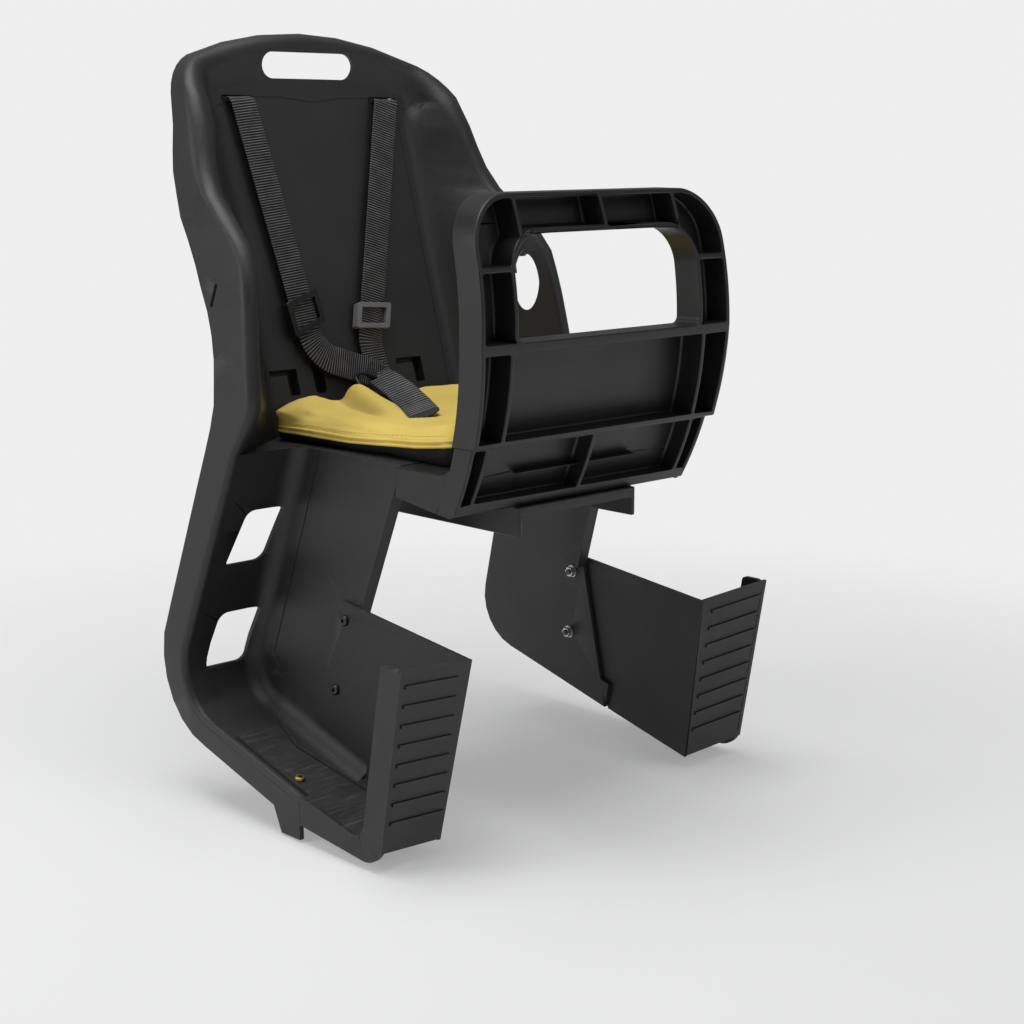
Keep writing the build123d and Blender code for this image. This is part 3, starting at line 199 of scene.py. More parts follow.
def mould_grain_group():
    """Fine leathery grain of a spark-eroded mould, with slow flow marks under it."""
    group, nodes, links, start, end = shader_group(
        "mould_grain", {"Cells": 1500.0, "Flow": 26.0}, {"Height": "Float", "Flow mark": "Float"}
    )
    place = add_node(nodes, "TexCoord")
    cells = add_node(nodes, "TexVoronoi", feature="SMOOTH_F1", sockets={"Smoothness": 0.6})
    specks = add_node(nodes, "TexNoise", sockets={"Detail": 3.0, "Roughness": 0.6})
    flow = add_node(nodes, "TexNoise", sockets={"Detail": 2.0, "Roughness": 0.5})
    links.new(place.outputs["Object"], cells.inputs["Vector"])
    links.new(place.outputs["Object"], specks.inputs["Vector"])
    links.new(place.outputs["Object"], flow.inputs["Vector"])
    links.new(start.outputs["Cells"], cells.inputs["Scale"])
    links.new(start.outputs["Cells"], specks.inputs["Scale"])
    links.new(start.outputs["Flow"], flow.inputs["Scale"])
    height = add_node(nodes, "Math", operation="ADD")
    links.new(cells.outputs["Distance"], height.inputs[0])
    links.new(specks.outputs["Fac"], height.inputs[1])
    links.new(height.outputs[0], end.inputs["Height"])
    links.new(flow.outputs["Fac"], end.inputs["Flow mark"])
    return group


def edge_rub_and_highlight_group():
    """Convex edges, lighter from the wear of hands and shoes and from a painted highlight, broken up by
    patches.
    """
    group, nodes, links, start, end = shader_group(
        "edge_rub_and_highlight", {"Reach": 0.08, "Patches": 45.0}, {"Mask": "Float"}
    )
    shape = add_node(nodes, "NewGeometry")
    over = add_node(nodes, "Math", operation="SUBTRACT")
    over.inputs[1].default_value = 0.5
    scaled = add_node(nodes, "Math", operation="DIVIDE", use_clamp=True)
    place = add_node(nodes, "TexCoord")
    patches = add_node(nodes, "TexNoise", sockets={"Detail": 4.0, "Roughness": 0.65})
    broken = add_node(nodes, "MapRange", sockets={"From Min": 0.35, "From Max": 0.7})
    both = add_node(nodes, "Math", operation="MULTIPLY", use_clamp=True)
    links.new(shape.outputs["Pointiness"], over.inputs[0])
    links.new(over.outputs[0], scaled.inputs[0])
    links.new(start.outputs["Reach"], scaled.inputs[1])
    links.new(place.outputs["Object"], patches.inputs["Vector"])
    links.new(start.outputs["Patches"], patches.inputs["Scale"])
    links.new(patches.outputs["Fac"], broken.inputs["Value"])
    links.new(scaled.outputs[0], both.inputs[0])
    links.new(broken.outputs[0], both.inputs[1])
    links.new(both.outputs[0], end.inputs["Mask"])
    return group


def settled_dust_group():
    """Dust that lies on faces that look up, thicker in patches."""
    group, nodes, links, start, end = shader_group(
        "settled_dust", {"Patches": 18.0}, {"Mask": "Float"}
    )
    shape = add_node(nodes, "NewGeometry")
    parts = add_node(nodes, "SeparateXYZ")
    upward = add_node(nodes, "MapRange", sockets={"From Min": 0.45, "From Max": 1.0})
    place = add_node(nodes, "TexCoord")
    patches = add_node(nodes, "TexNoise", sockets={"Detail": 5.0, "Roughness": 0.7})
    thick = add_node(nodes, "MapRange", sockets={"From Min": 0.3, "From Max": 0.75})
    both = add_node(nodes, "Math", operation="MULTIPLY", use_clamp=True)
    links.new(shape.outputs["Normal"], parts.inputs[0])
    links.new(parts.outputs["Z"], upward.inputs["Value"])
    links.new(place.outputs["Object"], patches.inputs["Vector"])
    links.new(start.outputs["Patches"], patches.inputs["Scale"])
    links.new(patches.outputs["Fac"], thick.inputs["Value"])
    links.new(upward.outputs[0], both.inputs[0])
    links.new(thick.outputs[0], both.inputs[1])
    links.new(both.outputs[0], end.inputs["Mask"])
    return group


def shoe_scuff_group():
    """Streaks that shoe soles leave on faces that look up, in two crossing directions."""
    group, nodes, links, start, end = shader_group(
        "shoe_scuff", {"Streaks": 34.0}, {"Mask": "Float"}
    )
    shape = add_node(nodes, "NewGeometry")
    parts = add_node(nodes, "SeparateXYZ")
    upward = add_node(nodes, "MapRange", sockets={"From Min": 0.6, "From Max": 0.9})
    links.new(shape.outputs["Normal"], parts.inputs[0])
    links.new(parts.outputs["Z"], upward.inputs["Value"])
    place = add_node(nodes, "TexCoord")
    either = add_node(nodes, "Math", operation="MAXIMUM")
    for index, turn in enumerate(SCUFF_TURNS):
        aim = add_node(
            nodes, "Mapping", sockets={"Rotation": (0.0, 0.0, turn), "Scale": (1.0, 9.0, 1.0)}
        )
        streaks = add_node(nodes, "TexNoise", sockets={"Detail": 6.0, "Roughness": 0.62})
        thin = add_node(nodes, "MapRange", sockets={"From Min": 0.55, "From Max": 0.72})
        links.new(place.outputs["Object"], aim.inputs["Vector"])
        links.new(aim.outputs[0], streaks.inputs["Vector"])
        links.new(start.outputs["Streaks"], streaks.inputs["Scale"])
        links.new(streaks.outputs["Fac"], thin.inputs["Value"])
        links.new(thin.outputs[0], either.inputs[index])
    both = add_node(nodes, "Math", operation="MULTIPLY", use_clamp=True)
    links.new(either.outputs[0], both.inputs[0])
    links.new(upward.outputs[0], both.inputs[1])
    links.new(both.outputs[0], end.inputs["Mask"])
    return group


SCUFF_TURNS = (0.5, 2.0)
SCUFF_GREY = (0.11, 0.11, 0.115, 1.0)
MOULD_GRAIN = mould_grain_group()
EDGE_RUB_AND_HIGHLIGHT = edge_rub_and_highlight_group()
SETTLED_DUST = settled_dust_group()
SHOE_SCUFF = shoe_scuff_group()


def placed_group(nodes, group, **values):
    """The group placed in a material with its own values."""
    node = nodes.new("ShaderNodeGroup")
    node.node_tree = group
    for label, value in values.items():
        node.inputs[label].default_value = value
    return node


def moulded_plastic(name, dark, rub_highlight_colour, cells, grain_depth, rough, dust, scuff=0.0):
    """Black moulded plastic: grain, flow marks, edges lightened by wear and a painted highlight, and a
    little dust.
    """
    material, nodes, links, shader = new_material(name)
    grain = placed_group(nodes, MOULD_GRAIN, Cells=cells)
    rub_and_highlight = placed_group(nodes, EDGE_RUB_AND_HIGHLIGHT)
    settled = placed_group(nodes, SETTLED_DUST)
    flow_tone = add_node(nodes, "Mix", data_type="RGBA")
    flow_tone.inputs["A"].default_value = dark
    flow_tone.inputs["B"].default_value = tuple(c * 1.5 for c in dark[:3]) + (1.0,)
    # Convex edges lighten towards the edge tone: edge wear and painted highlight
    rub_and_highlight_share = add_node(nodes, "Math", operation="MULTIPLY")
    rub_and_highlight_share.inputs[1].default_value = 0.6
    rub_and_highlight_tone = add_node(nodes, "Mix", data_type="RGBA")
    rub_and_highlight_tone.inputs["B"].default_value = rub_highlight_colour
    dust_share = add_node(nodes, "Math", operation="MULTIPLY")
    dust_share.inputs[1].default_value = dust
    dust_tone = add_node(nodes, "Mix", data_type="RGBA")
    dust_tone.inputs["B"].default_value = (0.19, 0.185, 0.175, 1.0)
    gloss = add_node(nodes, "MapRange", sockets={"From Min": 0.3, "From Max": 0.7})
    gloss.inputs["To Min"].default_value = rough - 0.05
    gloss.inputs["To Max"].default_value = rough + 0.06
    bump = add_node(nodes, "Bump", sockets={"Strength": 0.5, "Distance": grain_depth})
    links.new(grain.outputs["Flow mark"], flow_tone.inputs["Factor"])
    links.new(rub_and_highlight.outputs["Mask"], rub_and_highlight_share.inputs[0])
    links.new(rub_and_highlight_share.outputs[0], rub_and_highlight_tone.inputs["Factor"])
    links.new(flow_tone.outputs["Result"], rub_and_highlight_tone.inputs["A"])
    links.new(settled.outputs["Mask"], dust_share.inputs[0])
    links.new(dust_share.outputs[0], dust_tone.inputs["Factor"])
    links.new(rub_and_highlight_tone.outputs["Result"], dust_tone.inputs["A"])
    shown_tone = dust_tone
    if scuff:
        worn = placed_group(nodes, SHOE_SCUFF)
        scuff_share = add_node(nodes, "Math", operation="MULTIPLY")
        scuff_share.inputs[1].default_value = scuff
        shown_tone = add_node(nodes, "Mix", data_type="RGBA")
        shown_tone.inputs["B"].default_value = SCUFF_GREY
        links.new(worn.outputs["Mask"], scuff_share.inputs[0])
        links.new(scuff_share.outputs[0], shown_tone.inputs["Factor"])
        links.new(dust_tone.outputs["Result"], shown_tone.inputs["A"])
    links.new(shown_tone.outputs["Result"], shader.inputs["Base Color"])
    links.new(grain.outputs["Flow mark"], gloss.inputs["Value"])
    links.new(gloss.outputs[0], shader.inputs["Roughness"])
    links.new(grain.outputs["Height"], bump.inputs["Height"])
    links.new(bump.outputs["Normal"], shader.inputs["Normal"])
    shader.inputs["Specular IOR Level"].default_value = 0.42
    return material


SHARP_FROM = math.radians(32.0)
FLAT_TO = math.radians(0.05)
RADIUS_ROOM = 0.4
SLIVER = 0.00008
SPLINTER = math.radians(4.0)
# A radius dies out from edge to edge towards a place that has no room for it
RADIUS_STEPS = 14
RADIUS_GROWTH = 1.4
RADIUS_LEAST = 0.00002
STRAY_FROM = 0.55


def room_for_radius(edge):
    """How far the faces beside an edge reach, so that its radius can stay inside them."""
    room = 1.0
    for vert in edge.verts:
        along = (edge.other_vert(vert).co - vert.co).normalized()
        for other in vert.link_edges:
            if other is not edge:
                arm = other.other_vert(vert).co - vert.co
                across = arm.cross(along).length
                if across > 0.3 * arm.length:
                    room = min(room, across)
    return room


def face_depth(face):
    """How deep a face is, measured from its longest side."""
    return 2 * face.calc_area() / max(side.calc_length() for side in face.edges)


def cleared_mesh(data, low, high):
    """The mesh with the room between two corners cut out of it."""
    solid = bpy.data.objects.new("uncut", data)
    block = mesh_object(
        "cutter",
        [(x, y, z) for z in (low[2], high[2]) for y in (low[1], high[1]) for x in (low[0], high[0])],
        [(0, 2, 3, 1), (4, 5, 7, 6), (0, 1, 5, 4), (2, 6, 7, 3), (0, 4, 6, 2), (1, 3, 7, 5)],
    )
    scene.collection.objects.link(solid)
    cutting = solid.modifiers.new("cutting", "BOOLEAN")
    cutting.operation = "DIFFERENCE"
    cutting.solver = "MANIFOLD"
    cutting.object = block
    cut = made_mesh(solid)
    bpy.data.objects.remove(solid)
    bpy.data.objects.remove(block)
    return cut


def made_mesh(obj):
    """The object's mesh with its modifiers done."""
    return bpy.data.meshes.new_from_object(obj.evaluated_get(bpy.context.evaluated_depsgraph_get()))


def moulded_copy(node, outer, inner, merged=True, cleared=None, edge_highlight_slot=-1):
    """A copy of a solid with its mould radii: outer on edges that stand out, inner in the corners."""
    work = bmesh.new()
    work.from_mesh(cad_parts[node].data)
    bmesh.ops.remove_doubles(work, verts=work.verts, dist=2e-6)
    if cleared:
        whole = bpy.data.meshes.new(node + "_whole")
        work.to_mesh(whole)
        work.clear()
        work.from_mesh(cleared_mesh(whole, *cleared))
        bmesh.ops.remove_doubles(work, verts=work.verts, dist=2e-6)
    if merged:
        bmesh.ops.dissolve_limit(
            work, angle_limit=FLAT_TO, verts=work.verts, edges=work.edges, delimit=set()
        )
    bmesh.ops.dissolve_degenerate(work, dist=2e-5, edges=work.edges)
    surface = BVHTree.FromBMesh(work)
    low = [min(vert.co[axis] for vert in work.verts) for axis in range(3)]
    high = [max(vert.co[axis] for vert in work.verts) for axis in range(3)]
    widest = max(outer, inner)
    weight = work.edges.layers.float.new("bevel_weight_edge")
    for face in work.faces:
        face.smooth = True
    radius = {}
    for edge in work.edges:
        if len(edge.link_faces) == 2 and edge.calc_face_angle() > SHARP_FROM:
            edge.smooth = merged
            thinnest = min(2 * face.calc_area() for face in edge.link_faces) / edge.calc_length()
            room = room_for_radius(edge) if thinnest > SLIVER else 0.0
            if not merged:
                narrowest = min(loop.calc_angle() for vert in edge.verts for loop in vert.link_loops)
                depth = min(face_depth(face) for face in edge.link_faces)
                room = min(room, depth) if narrowest > SPLINTER else 0.0
            radius[edge] = min(outer if edge.is_convex else inner, RADIUS_ROOM * room)
    if not merged:
        for _ in range(RADIUS_STEPS):
            for edge in radius:
                beside = [other for vert in edge.verts for other in vert.link_edges if other in radius]
                least = min(radius[other] for other in beside)
                radius[edge] = min(radius[edge], RADIUS_GROWTH * least + RADIUS_LEAST)
    for edge, width in radius.items():
        if merged or width > 2 * RADIUS_LEAST:
            edge[weight] = width / widest
    sharp = bpy.data.meshes.new(node + "_sharp")
    work.to_mesh(sharp)
    work.free()
    for _ in range(edge_highlight_slot + 1):
        sharp.materials.append(None)
    obj = bpy.data.objects.new(node + "_moulding", sharp)
    scene.collection.objects.link(obj)
    radii = obj.modifiers.new("mould_radii", "BEVEL")
    radii.limit_method = "WEIGHT"
    radii.width = widest
    radii.segments = 2
    radii.use_clamp_overlap = False
    radii.harden_normals = not merged
    radii.material = edge_highlight_slot
    radii.miter_outer = "MITER_ARC" if merged else "MITER_SHARP"
    rounded = made_mesh(obj)
    for vert in rounded.vertices:
        nearest, _, _, away = surface.find_nearest(vert.co)
        if away > STRAY_FROM * widest:
            vert.co = nearest
        for axis in range(3):
            vert.co[axis] = min(max(vert.co[axis], low[axis]), high[axis])
    rounded.name = node + "_moulding"
    obj.modifiers.clear()
    obj.data = rounded
    if merged:
        even = obj.modifiers.new("even_faces", "WEIGHTED_NORMAL")
        even.keep_sharp = True
    return obj


# The mould's insert for the far rim hole also clears the thin sliver in front of the hole
RIM_SLIVER = ((0.168, 0.1355, 0.150), (0.186, 0.1505, 0.1825))
shell = moulded_copy("seat_shell", SHELL_EDGE, SHELL_CORNER, merged=False, cleared=RIM_SLIVER)
shell.data.materials.clear()
shell.data.materials.append(
    moulded_plastic("shell_black", SHELL_BLACK, SHELL_RUB_HIGHLIGHT, 1400.0, 0.0002, 0.44, 0.10)
)
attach(shell, "seat")
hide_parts("seat_shell")


# The front guard is a second moulding of the same plastic: a ribbed panel with a hand slot,
# carried on under the pan as the base that is bolted to the carrier. It is smoother than the shell.

GUARD_EDGE = 0.0012
GUARD_CORNER = 0.0025
GUARD_BLACK = (0.0085, 0.0086, 0.0090, 1.0)
# Edge wear and painted highlight: the guard's convex edges lighten towards this tone
GUARD_RUB_HIGHLIGHT = (0.022, 0.022, 0.023, 1.0)

guard = moulded_copy("front_guard", GUARD_EDGE, GUARD_CORNER)
guard.data.materials.clear()
guard.data.materials.append(
    moulded_plastic("guard_black", GUARD_BLACK, GUARD_RUB_HIGHLIGHT, 2000.0, 0.00015, 0.36, 0.08)
)
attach(guard, "seat")
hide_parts("front_guard")


# Each footrest is a moulded toe box with a ribbed toe wall and a raised floor plate.
# Two screws hold it to the leg well's wall and one brass screw holds its floor.

REST_EDGE = 0.0004
REST_BLACK = (0.0135, 0.0137, 0.0145, 1.0)
# Edge wear and painted highlight: the footrests' convex edges lighten towards this tone
REST_RUB_HIGHLIGHT = (0.0175, 0.0178, 0.0187, 1.0)
rest_plastic = moulded_plastic(
    "footrest_black", REST_BLACK, REST_RUB_HIGHLIGHT, 1200.0, 0.00025, 0.46, 0.14, scuff=0.55
)

for side in ("right", "left"):
    rest = moulded_copy(side + "_footrest", REST_EDGE, REST_EDGE, merged=False)
    rest.data.materials.clear()
    rest.data.materials.append(rest_plastic)
    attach(rest, "seat")
    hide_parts(side + "_footrest")


# The screws, washers and nuts are zinc-plated steel, blackened where they show, and brass in the floor.
# The strap pins behind the panel are bare steel rod.

STEEL_TONES = {
    "steel": ((0.48, 0.48, 0.47, 1.0), 0.32),
    "dark_steel": ((0.075, 0.075, 0.078, 1.0), 0.38),
    "brass": ((0.46, 0.31, 0.11, 1.0), 0.36),
}
STEEL_NODES = {
    "footrest_wall_screws": "dark_steel",
    "footrest_floor_screws": "brass",
    "footrest_washers": "steel",
    "footrest_nuts": "steel",
    "shell_screws": "steel",
    "shell_washers": "steel",
    "shell_nuts": "steel",
    "right_strap_pin": "steel",
    "left_strap_pin": "steel",
}


def metal_tarnish_group():
    """Fine tarnish over turning marks."""
    group, nodes, links, start, end = shader_group("metal_tarnish", {"Scale": 420.0}, {"Mask": "Float"})
    place = add_node(nodes, "TexCoord")
    tarnish = add_node(nodes, "TexNoise", sockets={"Detail": 5.0, "Roughness": 0.65})
    links.new(place.outputs["Object"], tarnish.inputs["Vector"])
    links.new(start.outputs["Scale"], tarnish.inputs["Scale"])
    links.new(tarnish.outputs["Fac"], end.inputs["Mask"])
    return group


METAL_TARNISH = metal_tarnish_group()


def turned_metal(name, tone, rough):
    """Plated or bare metal with fine turning marks and tarnish."""
    material, nodes, links, shader = new_material(name)
    tarnish = placed_group(nodes, METAL_TARNISH)
    tone_mix = add_node(nodes, "Mix", data_type="RGBA")
    tone_mix.inputs["A"].default_value = tone
    tone_mix.inputs["B"].default_value = tuple(c * 0.55 for c in tone[:3]) + (1.0,)
    gloss = add_node(nodes, "MapRange")
    gloss.inputs["To Min"].default_value = rough - 0.08
    gloss.inputs["To Max"].default_value = rough + 0.16
    # Convex edges brighter than the metal's tone: edge wear and painted highlight
    rub_and_highlight = placed_group(nodes, EDGE_RUB_AND_HIGHLIGHT, Patches=300.0)
    bright = add_node(nodes, "Mix", data_type="RGBA")
    bright.inputs["B"].default_value = tuple(min(1.0, c * 1.5) for c in tone[:3]) + (1.0,)
    bump = add_node(nodes, "Bump", sockets={"Strength": 0.25, "Distance": 0.0001})
    links.new(tarnish.outputs["Mask"], tone_mix.inputs["Factor"])
    links.new(rub_and_highlight.outputs["Mask"], bright.inputs["Factor"])
    links.new(tone_mix.outputs["Result"], bright.inputs["A"])
    links.new(bright.outputs["Result"], shader.inputs["Base Color"])
    links.new(tarnish.outputs["Mask"], gloss.inputs["Value"])
    links.new(gloss.outputs[0], shader.inputs["Roughness"])
    links.new(tarnish.outputs["Mask"], bump.inputs["Height"])
    links.new(bump.outputs["Normal"], shader.inputs["Normal"])
    shader.inputs["Metallic"].default_value = 1.0
    return material


metals = {name: turned_metal(name + "_turned", *look) for name, look in STEEL_TONES.items()}
for node, metal in STEEL_NODES.items():
    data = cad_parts[node].data
    data.materials.clear()
    data.materials.append(metals[metal])


# The seat cushion is a foam pad in a pale yellow cotton cover, sewn with a double welt round its edge.
# It lies loose on the pan, rolls up against the panel and bulges beside the tongue that lies on it.

PAD_FRONT = -0.078
PAD_BACK = 0.145
PAD_HALF_FRONT = 0.110
PAD_HALF_BACK = 0.121
PAD_CORNER = 0.011
PAD_UNDER = 0.0406
# Height of the sewn edge from front to back: the pad is a little long and rides up at its front
PAD_HEM = ((-0.078, 0.0575), (-0.066, 0.0565), (-0.034, 0.0525), (0.049, 0.0483), (0.145, 0.0487))
PAD_FRONT_RISE = 0.006
PAD_CROWN = 0.0612
PAD_EDGE = 0.010
PAD_TUCK = 0.006
PAD_FLARE = 0.006
PAD_VOXEL = 0.0042
PAD_SWELL = 0.005
PAD_PRESSURE = 4.0
PAD_FRAMES = 20
# Height of the roll along the panel, by place across the seat
PAD_ROLL = (
    (-0.118, 0.008), (-0.092, 0.0125), (-0.062, 0.004), (-0.045, 0.001), (-0.010, -0.003),
    (0.015, -0.002), (0.042, 0.007), (0.088, 0.006), (0.118, 0.003),
)
PAD_ROLL_FROM = 0.098
PAD_ROLL_TO = 0.132
# The bulge beside the tongue: its top at the panel, how it drifts and fades towards the front
BULGE_X = -0.035
BULGE_BACK = 0.138
BULGE_DRIFT = 0.27
BULGE_RISE = 0.0165
BULGE_REACH = 0.118
BULGE_HALF = 0.026
BULGE_NEAR = 0.020
PAD_YELLOW = (0.80, 0.61, 0.155, 1.0)
PAD_SHADE = (0.66, 0.47, 0.095, 1.0)
THREAD_YELLOW = (0.70, 0.55, 0.20, 1.0)
BELOW_WELT_BLACK = (0.010, 0.010, 0.0105, 1.0)
BELOW_WELT_PATCHY = (0.022, 0.022, 0.023, 1.0)
FOLD_PAINTED_SHADE = (0.30, 0.20, 0.045, 1.0)
# Middle line of the tongue over the pad, with its roll towards the child's right
TONGUE_LINE = (
    (Vector((0.0096, 0.1537, 0.0839)), 0.0),
    (Vector((-0.0080, 0.1060, 0.0775)), 20.0),
    (Vector((-0.0310, 0.0560, 0.0702)), 20.0),
    (Vector((-0.0545, 0.0150, 0.0668)), 18.0),
)
TONGUE_HALF = 0.013


def smooth_step(low, high, value):
    """0 below low, 1 above high, and a smooth rise between them."""
    share = min(1.0, max(0.0, (value - low) / (high - low)))
    return share * share * (3.0 - 2.0 * share)


def rounded_route(corners, step):
    """Places along a route with rounded corners, as (place, run); run grows by one at each corner."""
    route = []
    last = corners[0][0]

    def straight(start, finish, run):
        count = max(1, round((finish - start).length / step))
        first = 0 if not route else 1
        for k in range(first, count + 1):
            route.append((start.lerp(finish, k / count), float(run)))

    for index in range(1, len(corners) - 1):
        corner, radius = corners[index]
        back = (corners[index - 1][0] - corner).normalized()
        ahead = (corners[index + 1][0] - corner).normalized()
        turn = back.angle(ahead)
        run = radius / math.tan(turn / 2)
        centre = corner + (back + ahead).normalized() * (radius / math.sin(turn / 2))
        first, final = corner + back * run, corner + ahead * run
        straight(last, first, index - 1)
        sweep = math.pi - turn
        count = max(4, round(radius * sweep / step))
        for k in range(1, count + 1):
            share = k / count
            from_first = math.sin((1 - share) * sweep) / math.sin(sweep)
            from_final = math.sin(share * sweep) / math.sin(sweep)
            place = centre + (first - centre) * from_first + (final - centre) * from_final
            route.append((place, index - 1 + share))
        last = final
    straight(last, corners[-1][0], len(corners) - 2)
    return route


def pad_hem_z(y):
    """Height of the sewn edge."""
    level = PAD_HEM[0][1]
    for (y0, z0), (y1, z1) in zip(PAD_HEM, PAD_HEM[1:]):
        if y >= y0:
            level = z0 + (z1 - z0) * min(1.0, (y - y0) / (y1 - y0))
    return level


def beside_bulge(x, y):
    """How far a place lies beside the bulge's ridge, as a share of its width, and how high it is there."""
    ahead = max(0.0, BULGE_BACK - y)
    aside = x - (BULGE_X - BULGE_DRIFT * ahead)
    return aside / (BULGE_HALF if aside > 0 else BULGE_NEAR), 1.0 - smooth_step(0.0, BULGE_REACH, ahead)


def pad_top_z(x, y):
    """Height of the filled top: crown, roll along the panel and the bulge beside the tongue."""
    roll = PAD_ROLL[0][1]
    for (x0, rise0), (x1, rise1) in zip(PAD_ROLL, PAD_ROLL[1:]):
        if x >= x0:
            roll = rise0 + (rise1 - rise0) * smooth_step(x0, x1, x)
    top = PAD_CROWN + roll * smooth_step(PAD_ROLL_FROM, PAD_ROLL_TO, y)
    top += PAD_FRONT_RISE * (1.0 - smooth_step(-0.070, -0.010, y))
    aside, fade = beside_bulge(x, y)
    if abs(aside) < 1.0:
        top += BULGE_RISE * fade * (0.5 + 0.5 * math.cos(math.pi * aside))
    return top


def under_tongue(x, y):
    """Highest level of the pad under the tongue, or None beside it."""
    for (start, roll0), (finish, roll1) in zip(TONGUE_LINE, TONGUE_LINE[1:]):
        along = Vector((finish.x - start.x, finish.y - start.y))
        arm = Vector((x - start.x, y - start.y))
        share = arm.dot(along) / along.length_squared
        if 0.0 <= share <= 1.0:
            aside = (arm.y * along.x - arm.x * along.y) / along.length
            if abs(aside) < TONGUE_HALF + 0.002:
                roll = math.radians(roll0 + (roll1 - roll0) * share)
                return start.z + (finish.z - start.z) * share + aside * math.tan(roll) - 0.0016
    return None


def pad_outline():
    """The pad's sewn edge in plan, once round from the middle of the front."""
    ends = ((-PAD_HALF_FRONT, PAD_FRONT), (-PAD_HALF_BACK, PAD_BACK))
    corners = [(Vector((0.0, PAD_FRONT, 0.0)), 0.0)]
    for x, y in (ends[0], ends[1], (PAD_HALF_BACK, PAD_BACK), (PAD_HALF_FRONT, PAD_FRONT)):
        corners.append((Vector((x, y, 0.0)), PAD_CORNER))
    corners.append((Vector((0.0, PAD_FRONT, 0.0)), 0.0))
    return [place for place, _ in rounded_route(corners, 0.003)][:-1]


def pad_blank(outline):
    """The pad before it swells: a top and an underside that meet at the sewn edge."""
    rings = 40
    count = len(outline)
    middle = Vector((0.0, (PAD_FRONT + PAD_BACK) / 2, 0.0))
    points, faces = [], []
    for sheet in (0, 1):
        for ring in range(1, rings + 1 - sheet):
            reach = 1.0 - (1.0 - ring / rings) ** 1.6
            inset = (1.0 - reach) * PAD_HALF_FRONT
            for edge in outline:
                spot = middle + (edge - middle) * reach
                soft = PAD_EDGE - PAD_TUCK * smooth_step(0.100, 0.135, spot.y)
                rise = math.sqrt(1.0 - (1.0 - min(1.0, inset / soft)) ** 2)
                hem = pad_hem_z(spot.y)
                level = PAD_UNDER if sheet else pad_top_z(spot.x, spot.y)
                points.append((spot.x, spot.y, hem + (level - hem) * rise))
        points.append((middle.x, middle.y, PAD_UNDER if sheet else pad_top_z(middle.x, middle.y)))
    top_count = rings * count + 1

    def at(sheet, ring, turn):
        if sheet and ring == rings - 1:
            return ring * count + turn % count
        return sheet * top_count + ring * count + turn % count

    for sheet in (0, 1):
        centre = len(points) - 1 if sheet else top_count - 1
        for turn in range(count):
            around = [(at(sheet, 0, turn), at(sheet, 0, turn + 1), centre)]
            for ring in range(rings - 1):
                around.append((
                    at(sheet, ring, turn), at(sheet, ring + 1, turn),
                    at(sheet, ring + 1, turn + 1), at(sheet, ring, turn + 1),
                ))
            faces.extend(face if sheet == 0 else face[::-1] for face in around)
    return mesh_object("seat_cushion_pad", points, faces)


def swollen_mesh(obj):
    """The cover pushed out by its foam: an even copy of the mesh, run as cloth under pressure."""
    even = obj.modifiers.new("even_mesh", "REMESH")
    even.mode = "VOXEL"
    even.voxel_size = PAD_VOXEL
    data = made_mesh(obj)
    obj.modifiers.clear()
    obj.data = data
    start = [vert.co.copy() for vert in data.vertices]
    cover = obj.modifiers.new("cover", "CLOTH")
    cover.settings.use_pressure = True
    cover.settings.uniform_pressure_force = PAD_PRESSURE
    cover.settings.effector_weights.gravity = 0.0
    cover.point_cache.frame_start = 1
    cover.point_cache.frame_end = PAD_FRAMES
    for number in range(1, PAD_FRAMES + 1):
        scene.frame_set(number)
    data = made_mesh(obj)
    obj.modifiers.clear()
    obj.data = data
    for vert, first in zip(data.vertices, start):
        move = vert.co - first
        if move.length > PAD_SWELL:
            vert.co = first + move * (PAD_SWELL / move.length)
    scene.frame_set(1)
    finer = obj.modifiers.new("finer", "SUBSURF")
    finer.levels = finer.render_levels = 1
    data = made_mesh(obj)
    obj.modifiers.clear()
    return data


def pad_wrinkle(place):
    """Fine slack folds of the cover: along the sides near the welt, and a slow unevenness."""
    side = smooth_step(0.072, 0.100, abs(place.x))
    front = smooth_step(-0.030, -0.062, place.y) if place.y < -0.030 else 0.0
    lines = noise.noise(Vector((place.x * 210.0, place.y * 16.0, place.z * 210.0)))
    cross = noise.noise(Vector((place.x * 18.0, place.y * 190.0, 3.7)))
    slow = noise.noise(Vector((place.x * 26.0, place.y * 20.0, 9.1)))
    return 0.0009 * side * lines + 0.0007 * front * cross + 0.0008 * slow


outline = pad_outline()
pad = pad_blank(outline)
pad.data = swollen_mesh(pad)
pad_normals = [vert.normal.copy() for vert in pad.data.vertices]
for vert, normal in zip(pad.data.vertices, pad_normals):
    if normal.z > 0.1:
        vert.co += normal * pad_wrinkle(vert.co)
        level = under_tongue(vert.co.x, vert.co.y)
        if level is not None and vert.co.z > level:
            vert.co.z = level
    flare = smooth_step(0.085, PAD_HALF_BACK, -vert.co.x) * smooth_step(0.100, 0.138, vert.co.y)
    vert.co.x -= PAD_FLARE * flare * smooth_step(0.054, 0.066, vert.co.z)
    vert.co.z = max(vert.co.z, PAD_UNDER)
pad.data.shade_smooth()


